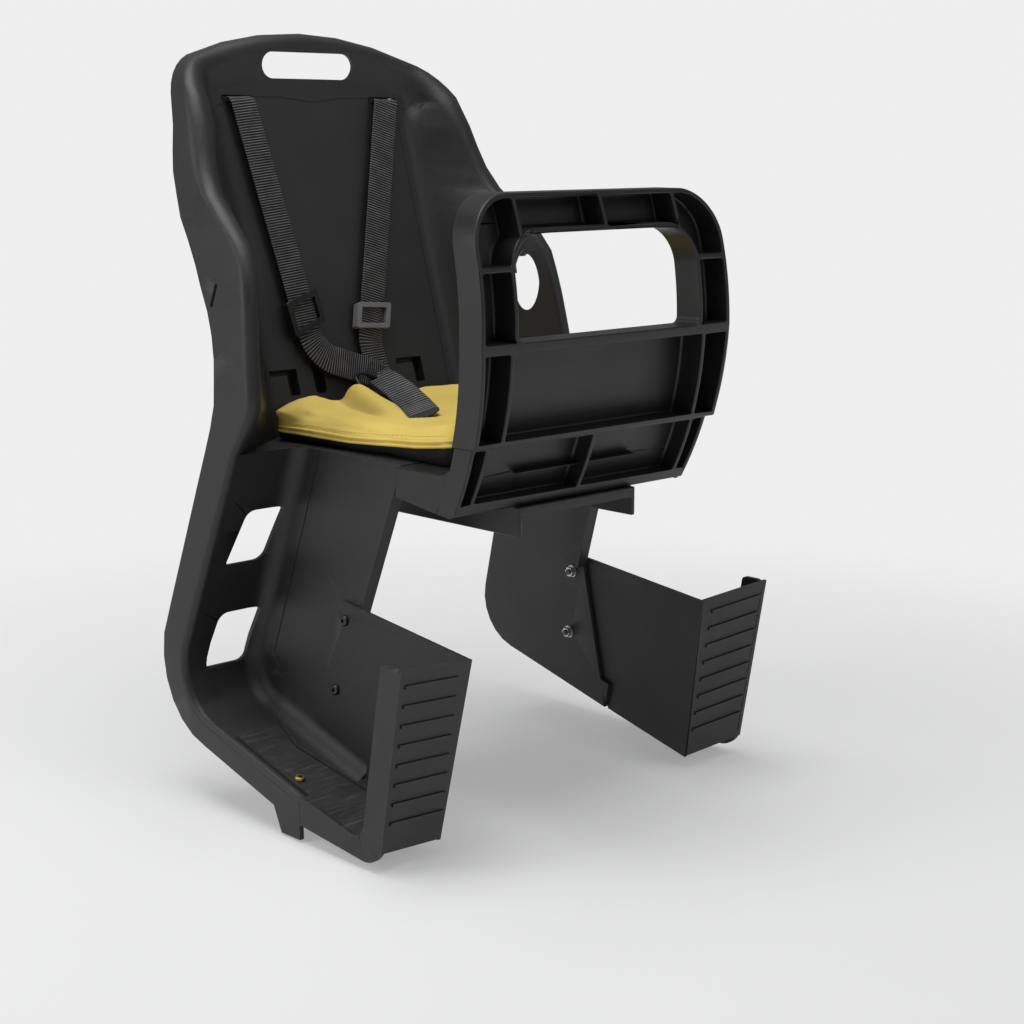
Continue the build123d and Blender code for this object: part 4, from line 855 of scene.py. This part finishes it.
def cotton_weave_group():
    """Plain weave: threads both ways with slubs, the gaps between them, and faded patches."""
    group, nodes, links, start, end = shader_group(
        "cotton_weave", {"Threads": 520.0}, {"Height": "Float", "Gap": "Float", "Patch": "Float"}
    )
    place = add_node(nodes, "TexCoord")
    threads = add_node(nodes, "Math", operation="ADD")
    for index, direction in enumerate(("X", "Y")):
        way = add_node(
            nodes, "TexWave", bands_direction=direction,
            sockets={"Distortion": 1.2, "Detail": 2.0, "Detail Scale": 1.5},
        )
        links.new(start.outputs["Threads"], way.inputs["Scale"])
        links.new(place.outputs["Object"], way.inputs["Vector"])
        links.new(way.outputs["Fac"], threads.inputs[index])
    fading = add_node(nodes, "TexNoise", sockets={"Scale": 16.0, "Detail": 5.0, "Roughness": 0.6})
    slubs = add_node(nodes, "TexNoise", sockets={"Scale": 900.0, "Detail": 2.0})
    patch = add_node(nodes, "MapRange", sockets={"From Min": 0.38, "From Max": 0.72, "To Max": 0.55})
    gap = add_node(
        nodes, "MapRange", sockets={"From Min": 0.2, "From Max": 1.4, "To Min": 0.30, "To Max": 0.0}
    )
    height = add_node(nodes, "Math", operation="ADD")
    links.new(place.outputs["Object"], fading.inputs["Vector"])
    links.new(place.outputs["Object"], slubs.inputs["Vector"])
    links.new(fading.outputs["Fac"], patch.inputs["Value"])
    links.new(threads.outputs[0], gap.inputs["Value"])
    links.new(threads.outputs[0], height.inputs[0])
    links.new(slubs.outputs["Fac"], height.inputs[1])
    links.new(height.outputs[0], end.inputs["Height"])
    links.new(gap.outputs[0], end.inputs["Gap"])
    links.new(patch.outputs[0], end.inputs["Patch"])
    return group


COTTON_WEAVE = cotton_weave_group()


def cotton_cover(name, light, shade, thread):
    """Plain-woven cotton: threads both ways, faded and deeper patches, painted shade in a fold, a soft
    nap.
    """
    material, nodes, links, shader = new_material(name)
    weave = placed_group(nodes, COTTON_WEAVE, Threads=thread)
    tone = add_node(nodes, "Mix", data_type="RGBA")
    tone.inputs["A"].default_value = light
    tone.inputs["B"].default_value = shade
    woven = add_node(nodes, "Mix", data_type="RGBA")
    woven.inputs["B"].default_value = shade
    # Painted shade in the fold beside the bulge, read from the pad's painted shade layer
    painted_shade_share = add_node(nodes, "Attribute", attribute_name="painted_shade_share")
    painted_shade_tone = add_node(nodes, "Mix", data_type="RGBA")
    painted_shade_tone.inputs["B"].default_value = FOLD_PAINTED_SHADE
    bump = add_node(nodes, "Bump", sockets={"Strength": 0.35, "Distance": 0.00025})
    links.new(weave.outputs["Patch"], tone.inputs["Factor"])
    links.new(weave.outputs["Gap"], woven.inputs["Factor"])
    links.new(tone.outputs["Result"], woven.inputs["A"])
    links.new(painted_shade_share.outputs["Fac"], painted_shade_tone.inputs["Factor"])
    links.new(woven.outputs["Result"], painted_shade_tone.inputs["A"])
    links.new(painted_shade_tone.outputs["Result"], shader.inputs["Base Color"])
    links.new(weave.outputs["Height"], bump.inputs["Height"])
    links.new(bump.outputs["Normal"], shader.inputs["Normal"])
    shader.inputs["Roughness"].default_value = 0.82
    shader.inputs["Specular IOR Level"].default_value = 0.25
    shader.inputs["Sheen Weight"].default_value = 0.18
    shader.inputs["Sheen Roughness"].default_value = 0.5
    shader.inputs["Sheen Tint"].default_value = light
    return material


def fold_painted_shade(place):
    """How much painted shade the cover takes: deepest at the foot of the bulge's near side."""
    aside, fade = beside_bulge(place.x, place.y)
    deep = smooth_step(0.10, 0.75, -aside) * (1.0 - smooth_step(0.95, 1.25, -aside))
    return 0.62 * deep * smooth_step(0.0, 0.35, fade) * smooth_step(-0.5, 0.5, 1.2 - fade)


# Painted shade: the cover darkens at the foot of the bulge's near side, where its slope lies in shade
painted_shade_layer = pad.data.attributes.new("painted_shade_share", "FLOAT", "POINT")
painted_shade_layer.data.foreach_set("value", [fold_painted_shade(vert.co) for vert in pad.data.vertices])
pad_cotton = cotton_cover("pad_cotton", PAD_YELLOW, PAD_SHADE, 520.0)
pad.data.materials.clear()
pad.data.materials.append(pad_cotton)
# Faces below the welt are coloured near-black, a dark band under the pad's yellow edge
pad.data.materials.append(cotton_cover("pad_below_welt", BELOW_WELT_BLACK, BELOW_WELT_PATCHY, 700.0))
for face in pad.data.polygons:
    if face.center.z < pad_hem_z(face.center.y):
        face.material_index = 1
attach(pad, "seat")
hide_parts("seat_cushion")

# The welt and its stitches follow the edge that the swollen cover has
WELT_RADIUS = 0.0013
WELT_RISE = 0.0036
STITCH_RADIUS = 0.00035
STITCH_LONG = 0.0026
STITCH_PITCH = 0.0043


def tube_faces(first, rings, sides, closed):
    """Faces of a tube whose points stand in rings from the point number first."""
    faces = []
    for ring in range(rings if closed else rings - 1):
        for side in range(sides):
            a = first + ring * sides + side
            b = first + ring * sides + (side + 1) % sides
            c = first + (ring + 1) % rings * sides + (side + 1) % sides
            d = first + (ring + 1) % rings * sides + side
            faces.append((a, d, c, b))
    if not closed:
        faces.append(tuple(first + side for side in range(sides)))
        faces.append(tuple(first + (rings - 1) * sides + side for side in reversed(range(sides))))
    return faces


def tube_points(route, radius, sides, closed, taper=False):
    """Points of a round tube along a route."""
    points = []
    count = len(route)
    for index, spot in enumerate(route):
        after = route[(index + 1) % count] if closed or index < count - 1 else spot
        before = route[index - 1] if closed or index > 0 else spot
        along = (after - before).normalized()
        first = along.cross(Vector((0.0, 0.0, 1.0)))
        first = first.normalized() if first.length > 1e-3 else Vector((1.0, 0.0, 0.0))
        second = first.cross(along)
        thick = radius * (0.35 if taper and index in (0, count - 1) else 1.0)
        for side in range(sides):
            turn = 2 * math.pi * side / sides
            points.append(spot + (first * math.cos(turn) + second * math.sin(turn)) * thick)
    return points


def edge_of_pad(rise, proud):
    """The line round the swollen pad at a height over its hem."""
    surface = BVHTree.FromPolygons(
        [vert.co for vert in pad.data.vertices], [face.vertices for face in pad.data.polygons]
    )
    middle = Vector((0.0, (PAD_FRONT + PAD_BACK) / 2, 0.0))
    line = []
    for spot in outline:
        level = Vector((0.0, 0.0, pad_hem_z(spot.y) + rise))
        inward = (middle - spot).normalized()
        place, normal, _, _ = surface.ray_cast(spot - inward * 0.03 + level, inward)
        line.append(place + normal * proud)
    for _ in range(3):
        line = [(line[k - 1] + line[k] * 2 + line[(k + 1) % len(line)]) / 4 for k in range(len(line))]
    return line


points, faces = [], []
for rise in (0.0, WELT_RISE):
    line = edge_of_pad(rise, WELT_RADIUS * 0.25)
    faces += tube_faces(len(points), len(line), 8, True)
    points += tube_points(line, WELT_RADIUS, 8, True)
welt = mesh_object("seat_cushion_welt", points, faces)
welt.data.shade_smooth()
welt.data.materials.append(pad_cotton)
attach(welt, "seat")


def stitch_row(line, pitch, length, radius):
    """Thread stitches along a line, as points and faces."""
    points, faces = [], []
    travelled, due = 0.0, pitch
    for start, finish in zip(line, line[1:]):
        run = (finish - start).length
        while due <= travelled + run:
            spot = start.lerp(finish, (due - travelled) / run)
            along = (finish - start).normalized() * length / 2
            route = [spot - along, spot - along * 0.5, spot + along * 0.5, spot + along]
            faces += tube_faces(len(points), 4, 6, False)
            points += tube_points(route, radius, 6, False, taper=True)
            due += pitch
        travelled += run
    return points, faces


row = edge_of_pad(WELT_RISE * 2.1, STITCH_RADIUS * 0.4)
seam = mesh_object(
    "seat_cushion_stitches", *stitch_row(row + row[:1], STITCH_PITCH, STITCH_LONG, STITCH_RADIUS)
)
seam.data.shade_smooth()
seam.data.materials.append(cotton_cover("pad_thread", THREAD_YELLOW, PAD_SHADE, 1500.0))
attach(seam, "seat")


# The harness is black polyester webbing with strong cross ribs, sewn round a pin behind the panel.
# The child's left strap runs on as the tongue over the pad, and the right one is sewn on to it.

WEBBING_DARK = (0.0045, 0.0045, 0.005, 1.0)
WEBBING_CROWN_HIGHLIGHT = (0.19, 0.19, 0.195, 1.0)
WEBBING_PLAIN = (0.020, 0.020, 0.025, 1.0)
WEBBING_HALF = 0.013
WEBBING_THICK = 0.0015
WEBBING_STEP = 0.00052
RIB_PITCH = 0.0023
RIB_RISE = 0.00030
TONGUE_PITCH = 0.0056
TONGUE_RISE = 0.0007
TONGUE_RUN = 3.0
TONGUE_BLUNT = 2.2
PLAIN_END = 0.020
LOOP_RADIUS = 0.0041
PIN_LIFT = -9.3
PANEL_LEAN = math.radians(16.2)
PANEL_FOOT = Vector((0.0, 0.147, 0.040))
PANEL_UP = Vector((0.0, math.sin(PANEL_LEAN), math.cos(PANEL_LEAN)))
PANEL_OUT = Vector((0.0, -math.cos(PANEL_LEAN), math.sin(PANEL_LEAN)))
WEBBING_COLUMNS = (-1.0, -0.95, -0.8, -0.4, 0.0, 0.4, 0.8, 0.95, 1.0)


def on_panel(x, v, lift):
    """A place on the backrest panel, from millimetres across, up and away from it."""
    return PANEL_FOOT + (Vector((x, 0.0, 0.0)) + PANEL_UP * v + PANEL_OUT * lift) / 1000.0


def webbing_strip(corners, facings, round_end=False):
    """Ribbed webbing along a rounded route; facings gives where its face looks on each run."""
    route = rounded_route(corners, WEBBING_STEP)
    places = [place for place, _ in route]
    total = sum((b - a).length for a, b in zip(places, places[1:]))
    points, faces, weave = [], [], []
    travelled = ribs = 0.0
    for index, (spot, run) in enumerate(route):
        coarse = smooth_step(TONGUE_RUN - 0.6, TONGUE_RUN, run)
        if index:
            step = (spot - places[index - 1]).length
            travelled += step
            ribs += step / (RIB_PITCH + (TONGUE_PITCH - RIB_PITCH) * coarse)
        ahead = places[min(index + 1, len(places) - 1)] - places[max(index - 1, 0)]
        tangent = ahead.normalized()
        first = int(run)
        out = facings[first].lerp(facings[min(first + 1, len(facings) - 1)], run - first)
        out = (out - tangent * out.dot(tangent)).normalized()
        side = tangent.cross(out)
        half, ribbed = WEBBING_HALF, 1.0
        left = total - travelled
        if round_end:
            ribbed = smooth_step(PLAIN_END * 0.6, PLAIN_END, left)
            if left < WEBBING_HALF:
                bite = (1.0 - left / WEBBING_HALF) ** TONGUE_BLUNT
                half = WEBBING_HALF * max(0.03, 1.0 - bite) ** (1.0 / TONGUE_BLUNT)
        rise = RIB_RISE + (TONGUE_RISE - RIB_RISE) * coarse
        rib = rise * math.cos(ribs * 2 * math.pi) * ribbed
        for face in (1, -1):
            for column in WEBBING_COLUMNS[::face]:
                thin = 1.0 - 0.5 * max(0.0, (abs(column) - 0.8) / 0.2)
                lift = face * (WEBBING_THICK / 2 * thin + rib * (1.0 - abs(column) ** 12))
                points.append(spot + side * (half * column) + out * lift)
                weave.append((ribs * RIB_PITCH if ribbed > 0.5 else -1.0, half * column))
    ring = 2 * len(WEBBING_COLUMNS)
    faces = tube_faces(0, len(route), ring, False)
    return points, faces, weave


def pin_loop(slot_x):
    """The strap's end sewn into a ring round the pin behind the panel."""
    centre = on_panel(slot_x, 297.0, PIN_LIFT)
    points, weave = [], []
    count = 48
    for index in range(count):
        turn = 2 * math.pi * index / count
        out = PANEL_OUT * math.cos(turn) + PANEL_UP * math.sin(turn)
        travelled = LOOP_RADIUS * turn
        rib = RIB_RISE * math.cos(11 * turn)
        for face in (1, -1):
            for column in WEBBING_COLUMNS[::face]:
                lift = LOOP_RADIUS + face * WEBBING_THICK / 2 + max(0, face) * rib
                points.append(centre + out * lift + Vector((WEBBING_HALF * column, 0.0, 0.0)))
                weave.append((travelled, WEBBING_HALF * column))
    return points, tube_faces(0, count, 2 * len(WEBBING_COLUMNS), True), weave


def webbing_piece(name, strips):
    """One piece from several strips, with the way along and across the weave kept on it."""
    points, faces, weave = [], [], []
    for more_points, more_faces, more_weave in strips:
        faces += [tuple(k + len(points) for k in face) for face in more_faces]
        points += more_points
        weave += more_weave
    obj = mesh_object(name, points, faces)
    for label, part in (("way_along", 0), ("way_across", 1)):
        layer = obj.data.attributes.new(label, "FLOAT", "POINT")
        layer.data.foreach_set("value", [pair[part] for pair in weave])
    work = bmesh.new()
    work.from_mesh(obj.data)
    bmesh.ops.recalc_face_normals(work, faces=work.faces)
    work.to_mesh(obj.data)
    work.free()
    obj.data.shade_smooth()
    return obj


def ribbed_webbing():
    """Black polyester webbing: painted highlight on the rib crowns over near-black gaps, twisted yarn and
    a plain sealed end.
    """
    material, nodes, links, shader = new_material("harness_webbing")
    along = add_node(nodes, "Attribute", attribute_name="way_along")
    across = add_node(nodes, "Attribute", attribute_name="way_across")
    place = add_node(nodes, "CombineXYZ")
    links.new(along.outputs["Fac"], place.inputs["X"])
    links.new(across.outputs["Fac"], place.inputs["Y"])
    turns = add_node(nodes, "Math", operation="MULTIPLY")
    turns.inputs[1].default_value = 2 * math.pi / RIB_PITCH
    wave = add_node(nodes, "Math", operation="COSINE")
    crown = add_node(nodes, "MapRange", sockets={"From Min": 0.25, "From Max": 0.95})
    links.new(along.outputs["Fac"], turns.inputs[0])
    links.new(turns.outputs[0], wave.inputs[0])
    links.new(wave.outputs[0], crown.inputs["Value"])
    yarn_aim = add_node(nodes, "Mapping", sockets={"Rotation": (0.0, 0.0, 0.6), "Scale": (1.0, 3.0, 1.0)})
    yarn = add_node(nodes, "TexNoise", sockets={"Scale": 1500.0, "Detail": 2.0, "Roughness": 0.6})
    # Patches that weaken the painted crown highlight
    worn = add_node(nodes, "TexNoise", sockets={"Scale": 70.0, "Detail": 4.0, "Roughness": 0.6})
    links.new(place.outputs[0], yarn_aim.inputs["Vector"])
    links.new(yarn_aim.outputs[0], yarn.inputs["Vector"])
    links.new(place.outputs[0], worn.inputs["Vector"])
    broken = add_node(nodes, "MapRange", sockets={"From Min": 0.25, "From Max": 0.65, "To Min": 0.35})
    links.new(worn.outputs["Fac"], broken.inputs["Value"])
    lit = add_node(nodes, "Math", operation="MULTIPLY", use_clamp=True)
    links.new(crown.outputs[0], lit.inputs[0])
    links.new(broken.outputs[0], lit.inputs[1])
    # Painted highlight on the rib crowns over the near-black webbing
    ribbed = add_node(nodes, "Mix", data_type="RGBA")
    ribbed.inputs["A"].default_value = WEBBING_DARK
    ribbed.inputs["B"].default_value = WEBBING_CROWN_HIGHLIGHT
    links.new(lit.outputs[0], ribbed.inputs["Factor"])
    sealed = add_node(nodes, "Math", operation="LESS_THAN")
    sealed.inputs[1].default_value = -0.5
    shown = add_node(nodes, "Mix", data_type="RGBA")
    shown.inputs["B"].default_value = WEBBING_PLAIN
    links.new(along.outputs["Fac"], sealed.inputs[0])
    links.new(sealed.outputs[0], shown.inputs["Factor"])
    links.new(ribbed.outputs["Result"], shown.inputs["A"])
    links.new(shown.outputs["Result"], shader.inputs["Base Color"])
    gloss = add_node(nodes, "MapRange", sockets={"To Min": 0.72, "To Max": 0.48})
    links.new(lit.outputs[0], gloss.inputs["Value"])
    links.new(gloss.outputs[0], shader.inputs["Roughness"])
    bump = add_node(nodes, "Bump", sockets={"Strength": 0.4, "Distance": 0.0002})
    links.new(yarn.outputs["Fac"], bump.inputs["Height"])
    links.new(bump.outputs["Normal"], shader.inputs["Normal"])
    shader.inputs["Specular IOR Level"].default_value = 0.4
    return material


webbing = ribbed_webbing()
right_strip = webbing_strip(
    [
        (on_panel(-82, 297, PIN_LIFT + 4), 0.0),
        (on_panel(-82, 297, 7.4), 0.006),
        (on_panel(-57.0, 67.0, 7.4), 0.034),
        (on_panel(12, 42, 8.0), 0.0),
    ],
    [PANEL_UP, PANEL_OUT, PANEL_OUT],
)


def rolled_facing(roll):
    """Where the tongue's face looks when it is rolled towards the child's right."""
    turn = math.radians(roll)
    along = TONGUE_LINE[-1][0] - TONGUE_LINE[0][0]
    aside = Vector((along.y, -along.x, 0.0)).normalized()
    return Vector((0.0, 0.0, 1.0)) * math.cos(turn) + aside * math.sin(turn)


left_strip = webbing_strip(
    [
        (on_panel(82, 297, PIN_LIFT + 4), 0.0),
        (on_panel(82, 297, 5.8), 0.006),
        (on_panel(7.7, 75, 5.8), 0.030),
        (TONGUE_LINE[0][0], 0.012),
        (TONGUE_LINE[1][0], 0.060),
        (TONGUE_LINE[2][0], 0.060),
        (TONGUE_LINE[3][0], 0.0),
    ],
    [PANEL_UP, PANEL_OUT, PANEL_OUT] + [rolled_facing(roll) for _, roll in TONGUE_LINE[1:]],
    round_end=True,
)
right_strap = webbing_piece("right_strap_webbing", [right_strip, pin_loop(-82)])
left_strap = webbing_piece("left_strap_webbing", [left_strip, pin_loop(82)])
for strap in (right_strap, left_strap):
    strap.data.materials.append(webbing)
    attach(strap, "seat")
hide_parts("right_shoulder_strap")
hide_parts("left_shoulder_strap", "harness_tongue")

# The box of stitches that joins the right strap's end to the left strap
BOX_MIDDLE = (3.5, 45.0)
BOX_HALF = (7.0, 8.5)
BOX_LIFT = 8.9
BOX_TURN = math.radians(-20.0)
thread, nodes, links, shader = new_material("strap_thread")
place = add_node(nodes, "TexCoord")
twist = add_node(nodes, "TexNoise", sockets={"Scale": 2600.0, "Detail": 2.0})
links.new(place.outputs["Object"], twist.inputs["Vector"])
tone = add_node(nodes, "Mix", data_type="RGBA")
tone.inputs["A"].default_value = (0.02, 0.02, 0.021, 1.0)
tone.inputs["B"].default_value = (0.06, 0.06, 0.062, 1.0)
links.new(twist.outputs["Fac"], tone.inputs["Factor"])
links.new(tone.outputs["Result"], shader.inputs["Base Color"])
shader.inputs["Roughness"].default_value = 0.6


def box_corner(across, along):
    """A corner of the stitched box, turned with the strap."""
    x = BOX_HALF[0] * across
    v = BOX_HALF[1] * along
    turned_x = x * math.cos(BOX_TURN) - v * math.sin(BOX_TURN)
    turned_v = x * math.sin(BOX_TURN) + v * math.cos(BOX_TURN)
    return on_panel(BOX_MIDDLE[0] + turned_x, BOX_MIDDLE[1] + turned_v, BOX_LIFT)


points, faces = [], []
corners = [(-1, -1), (1, -1), (1, 1), (-1, 1), (-1, -1), (1, 1), (1, -1), (-1, 1)]
for start, finish in zip(corners, corners[1:]):
    line = [box_corner(*start), box_corner(*finish)]
    row_points, row_faces = stitch_row(line, 0.0030, 0.0022, 0.00035)
    faces += [tuple(k + len(points) for k in face) for face in row_faces]
    points += row_points
box = mesh_object("strap_stitches", points, faces)
box.data.shade_smooth()
box.data.materials.append(thread)
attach(box, "seat")


# The link that gathers the straps is a moulded oval ring of glossy black acetal.
# It hangs under the sewn ends, and the tongue comes forward through it.

LINK_MIDDLE = Vector((-0.0077, 0.1410, 0.0756))
LINK_LONG = Vector((0.56, -0.673, -0.49)).normalized()
LINK_SHORT = Vector((0.83, 0.43, 0.357)).normalized()
LINK_HALF = (0.017, 0.012)
LINK_BAND = 0.0032
LINK_THICK = 0.0014
ADJUSTER_BLACK = (0.009, 0.009, 0.010, 1.0)


def oval_link():
    """An oval ring with a rounded flat section."""
    points = []
    turns, sides = 72, 16
    normal = LINK_LONG.cross(LINK_SHORT).normalized()
    for index in range(turns):
        turn = 2 * math.pi * index / turns
        spot = LINK_LONG * (LINK_HALF[0] * math.cos(turn)) + LINK_SHORT * (LINK_HALF[1] * math.sin(turn))
        away = LINK_LONG * (LINK_HALF[1] * math.cos(turn)) + LINK_SHORT * (LINK_HALF[0] * math.sin(turn))
        away.normalize()
        for side in range(sides):
            angle = 2 * math.pi * side / sides
            c, s = math.cos(angle), math.sin(angle)
            wide = math.copysign(abs(c) ** 0.55, c) * LINK_BAND
            tall = math.copysign(abs(s) ** 0.55, s) * LINK_THICK
            points.append(LINK_MIDDLE + spot + away * tall + normal * wide)
    return mesh_object("strap_link", points, tube_faces(0, turns, sides, True))


link = oval_link()
link.data.shade_smooth()
# Its convex edges take the shell's edge tone: edge wear and painted highlight
link.data.materials.append(
    moulded_plastic("link_acetal", ADJUSTER_BLACK, SHELL_RUB_HIGHLIGHT, 3000.0, 0.00004, 0.20, 0.0)
)
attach(link, "seat")
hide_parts("strap_keeper")


# The slide adjusters are moulded frames that the webbing is threaded through, over a middle bar.
# The right one is glossy black, and the left one is a satin grey from another batch. Their rounded edges
# carry a light grey painted highlight.

ADJUSTER_EDGE = 0.0006
# Each one's middle on the panel, how its bars slant across the strap, and its length as a share
ADJUSTER_SET = {"right": ((-61.0, 104.0), 0.22, 1.0), "left": ((15.0, 97.0), 0.25, 0.78)}
STRAP_RUNS = {"right": (-82.0, -57.0, 67.0), "left": (82.0, 7.7, 75.0)}
ADJUSTER_GREY = (0.13, 0.13, 0.135, 1.0)
# Painted highlights: light greys that the adjusters' rounded edge faces take
GREY_EDGE_HIGHLIGHT = (0.36, 0.36, 0.37, 1.0)
BLACK_EDGE_HIGHLIGHT = (0.30, 0.30, 0.305, 1.0)
ADJUSTER_TONES = {"right": (ADJUSTER_BLACK, BLACK_EDGE_HIGHLIGHT, 0.22), "left": (ADJUSTER_GREY, GREY_EDGE_HIGHLIGHT, 0.34)}
for side, (body_tone, edge_highlight_tone, rough) in ADJUSTER_TONES.items():
    # The edge finish is a painted highlight on the faces of the rounded edges
    finishes = [
        moulded_plastic(side + "_adjuster_" + part, tone, tone, 3000.0, 0.00005, rough, 0.0)
        for part, tone in (("body", body_tone), ("edge", edge_highlight_tone))
    ]
    adjuster = moulded_copy(
        side + "_strap_adjuster", ADJUSTER_EDGE, ADJUSTER_EDGE / 2, edge_highlight_slot=1
    )
    (middle_x, middle_v), slant, share = ADJUSTER_SET[side]
    slot_x, bend_x, bend_v = STRAP_RUNS[side]
    middle = on_panel(middle_x, middle_v, 0.0)
    along = (on_panel(slot_x, 297.0, 0.0) - on_panel(bend_x, bend_v, 0.0)).normalized()
    across = along.cross(PANEL_OUT).normalized()
    for vert in adjuster.data.vertices:
        arm = vert.co - middle
        along_arm = arm.dot(along)
        vert.co += along * ((share - 1.0) * along_arm + slant * arm.dot(across))
    adjuster.data.materials.clear()
    for finish in finishes:
        adjuster.data.materials.append(finish)
    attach(adjuster, side + "_adjuster")
    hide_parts(side + "_strap_adjuster")
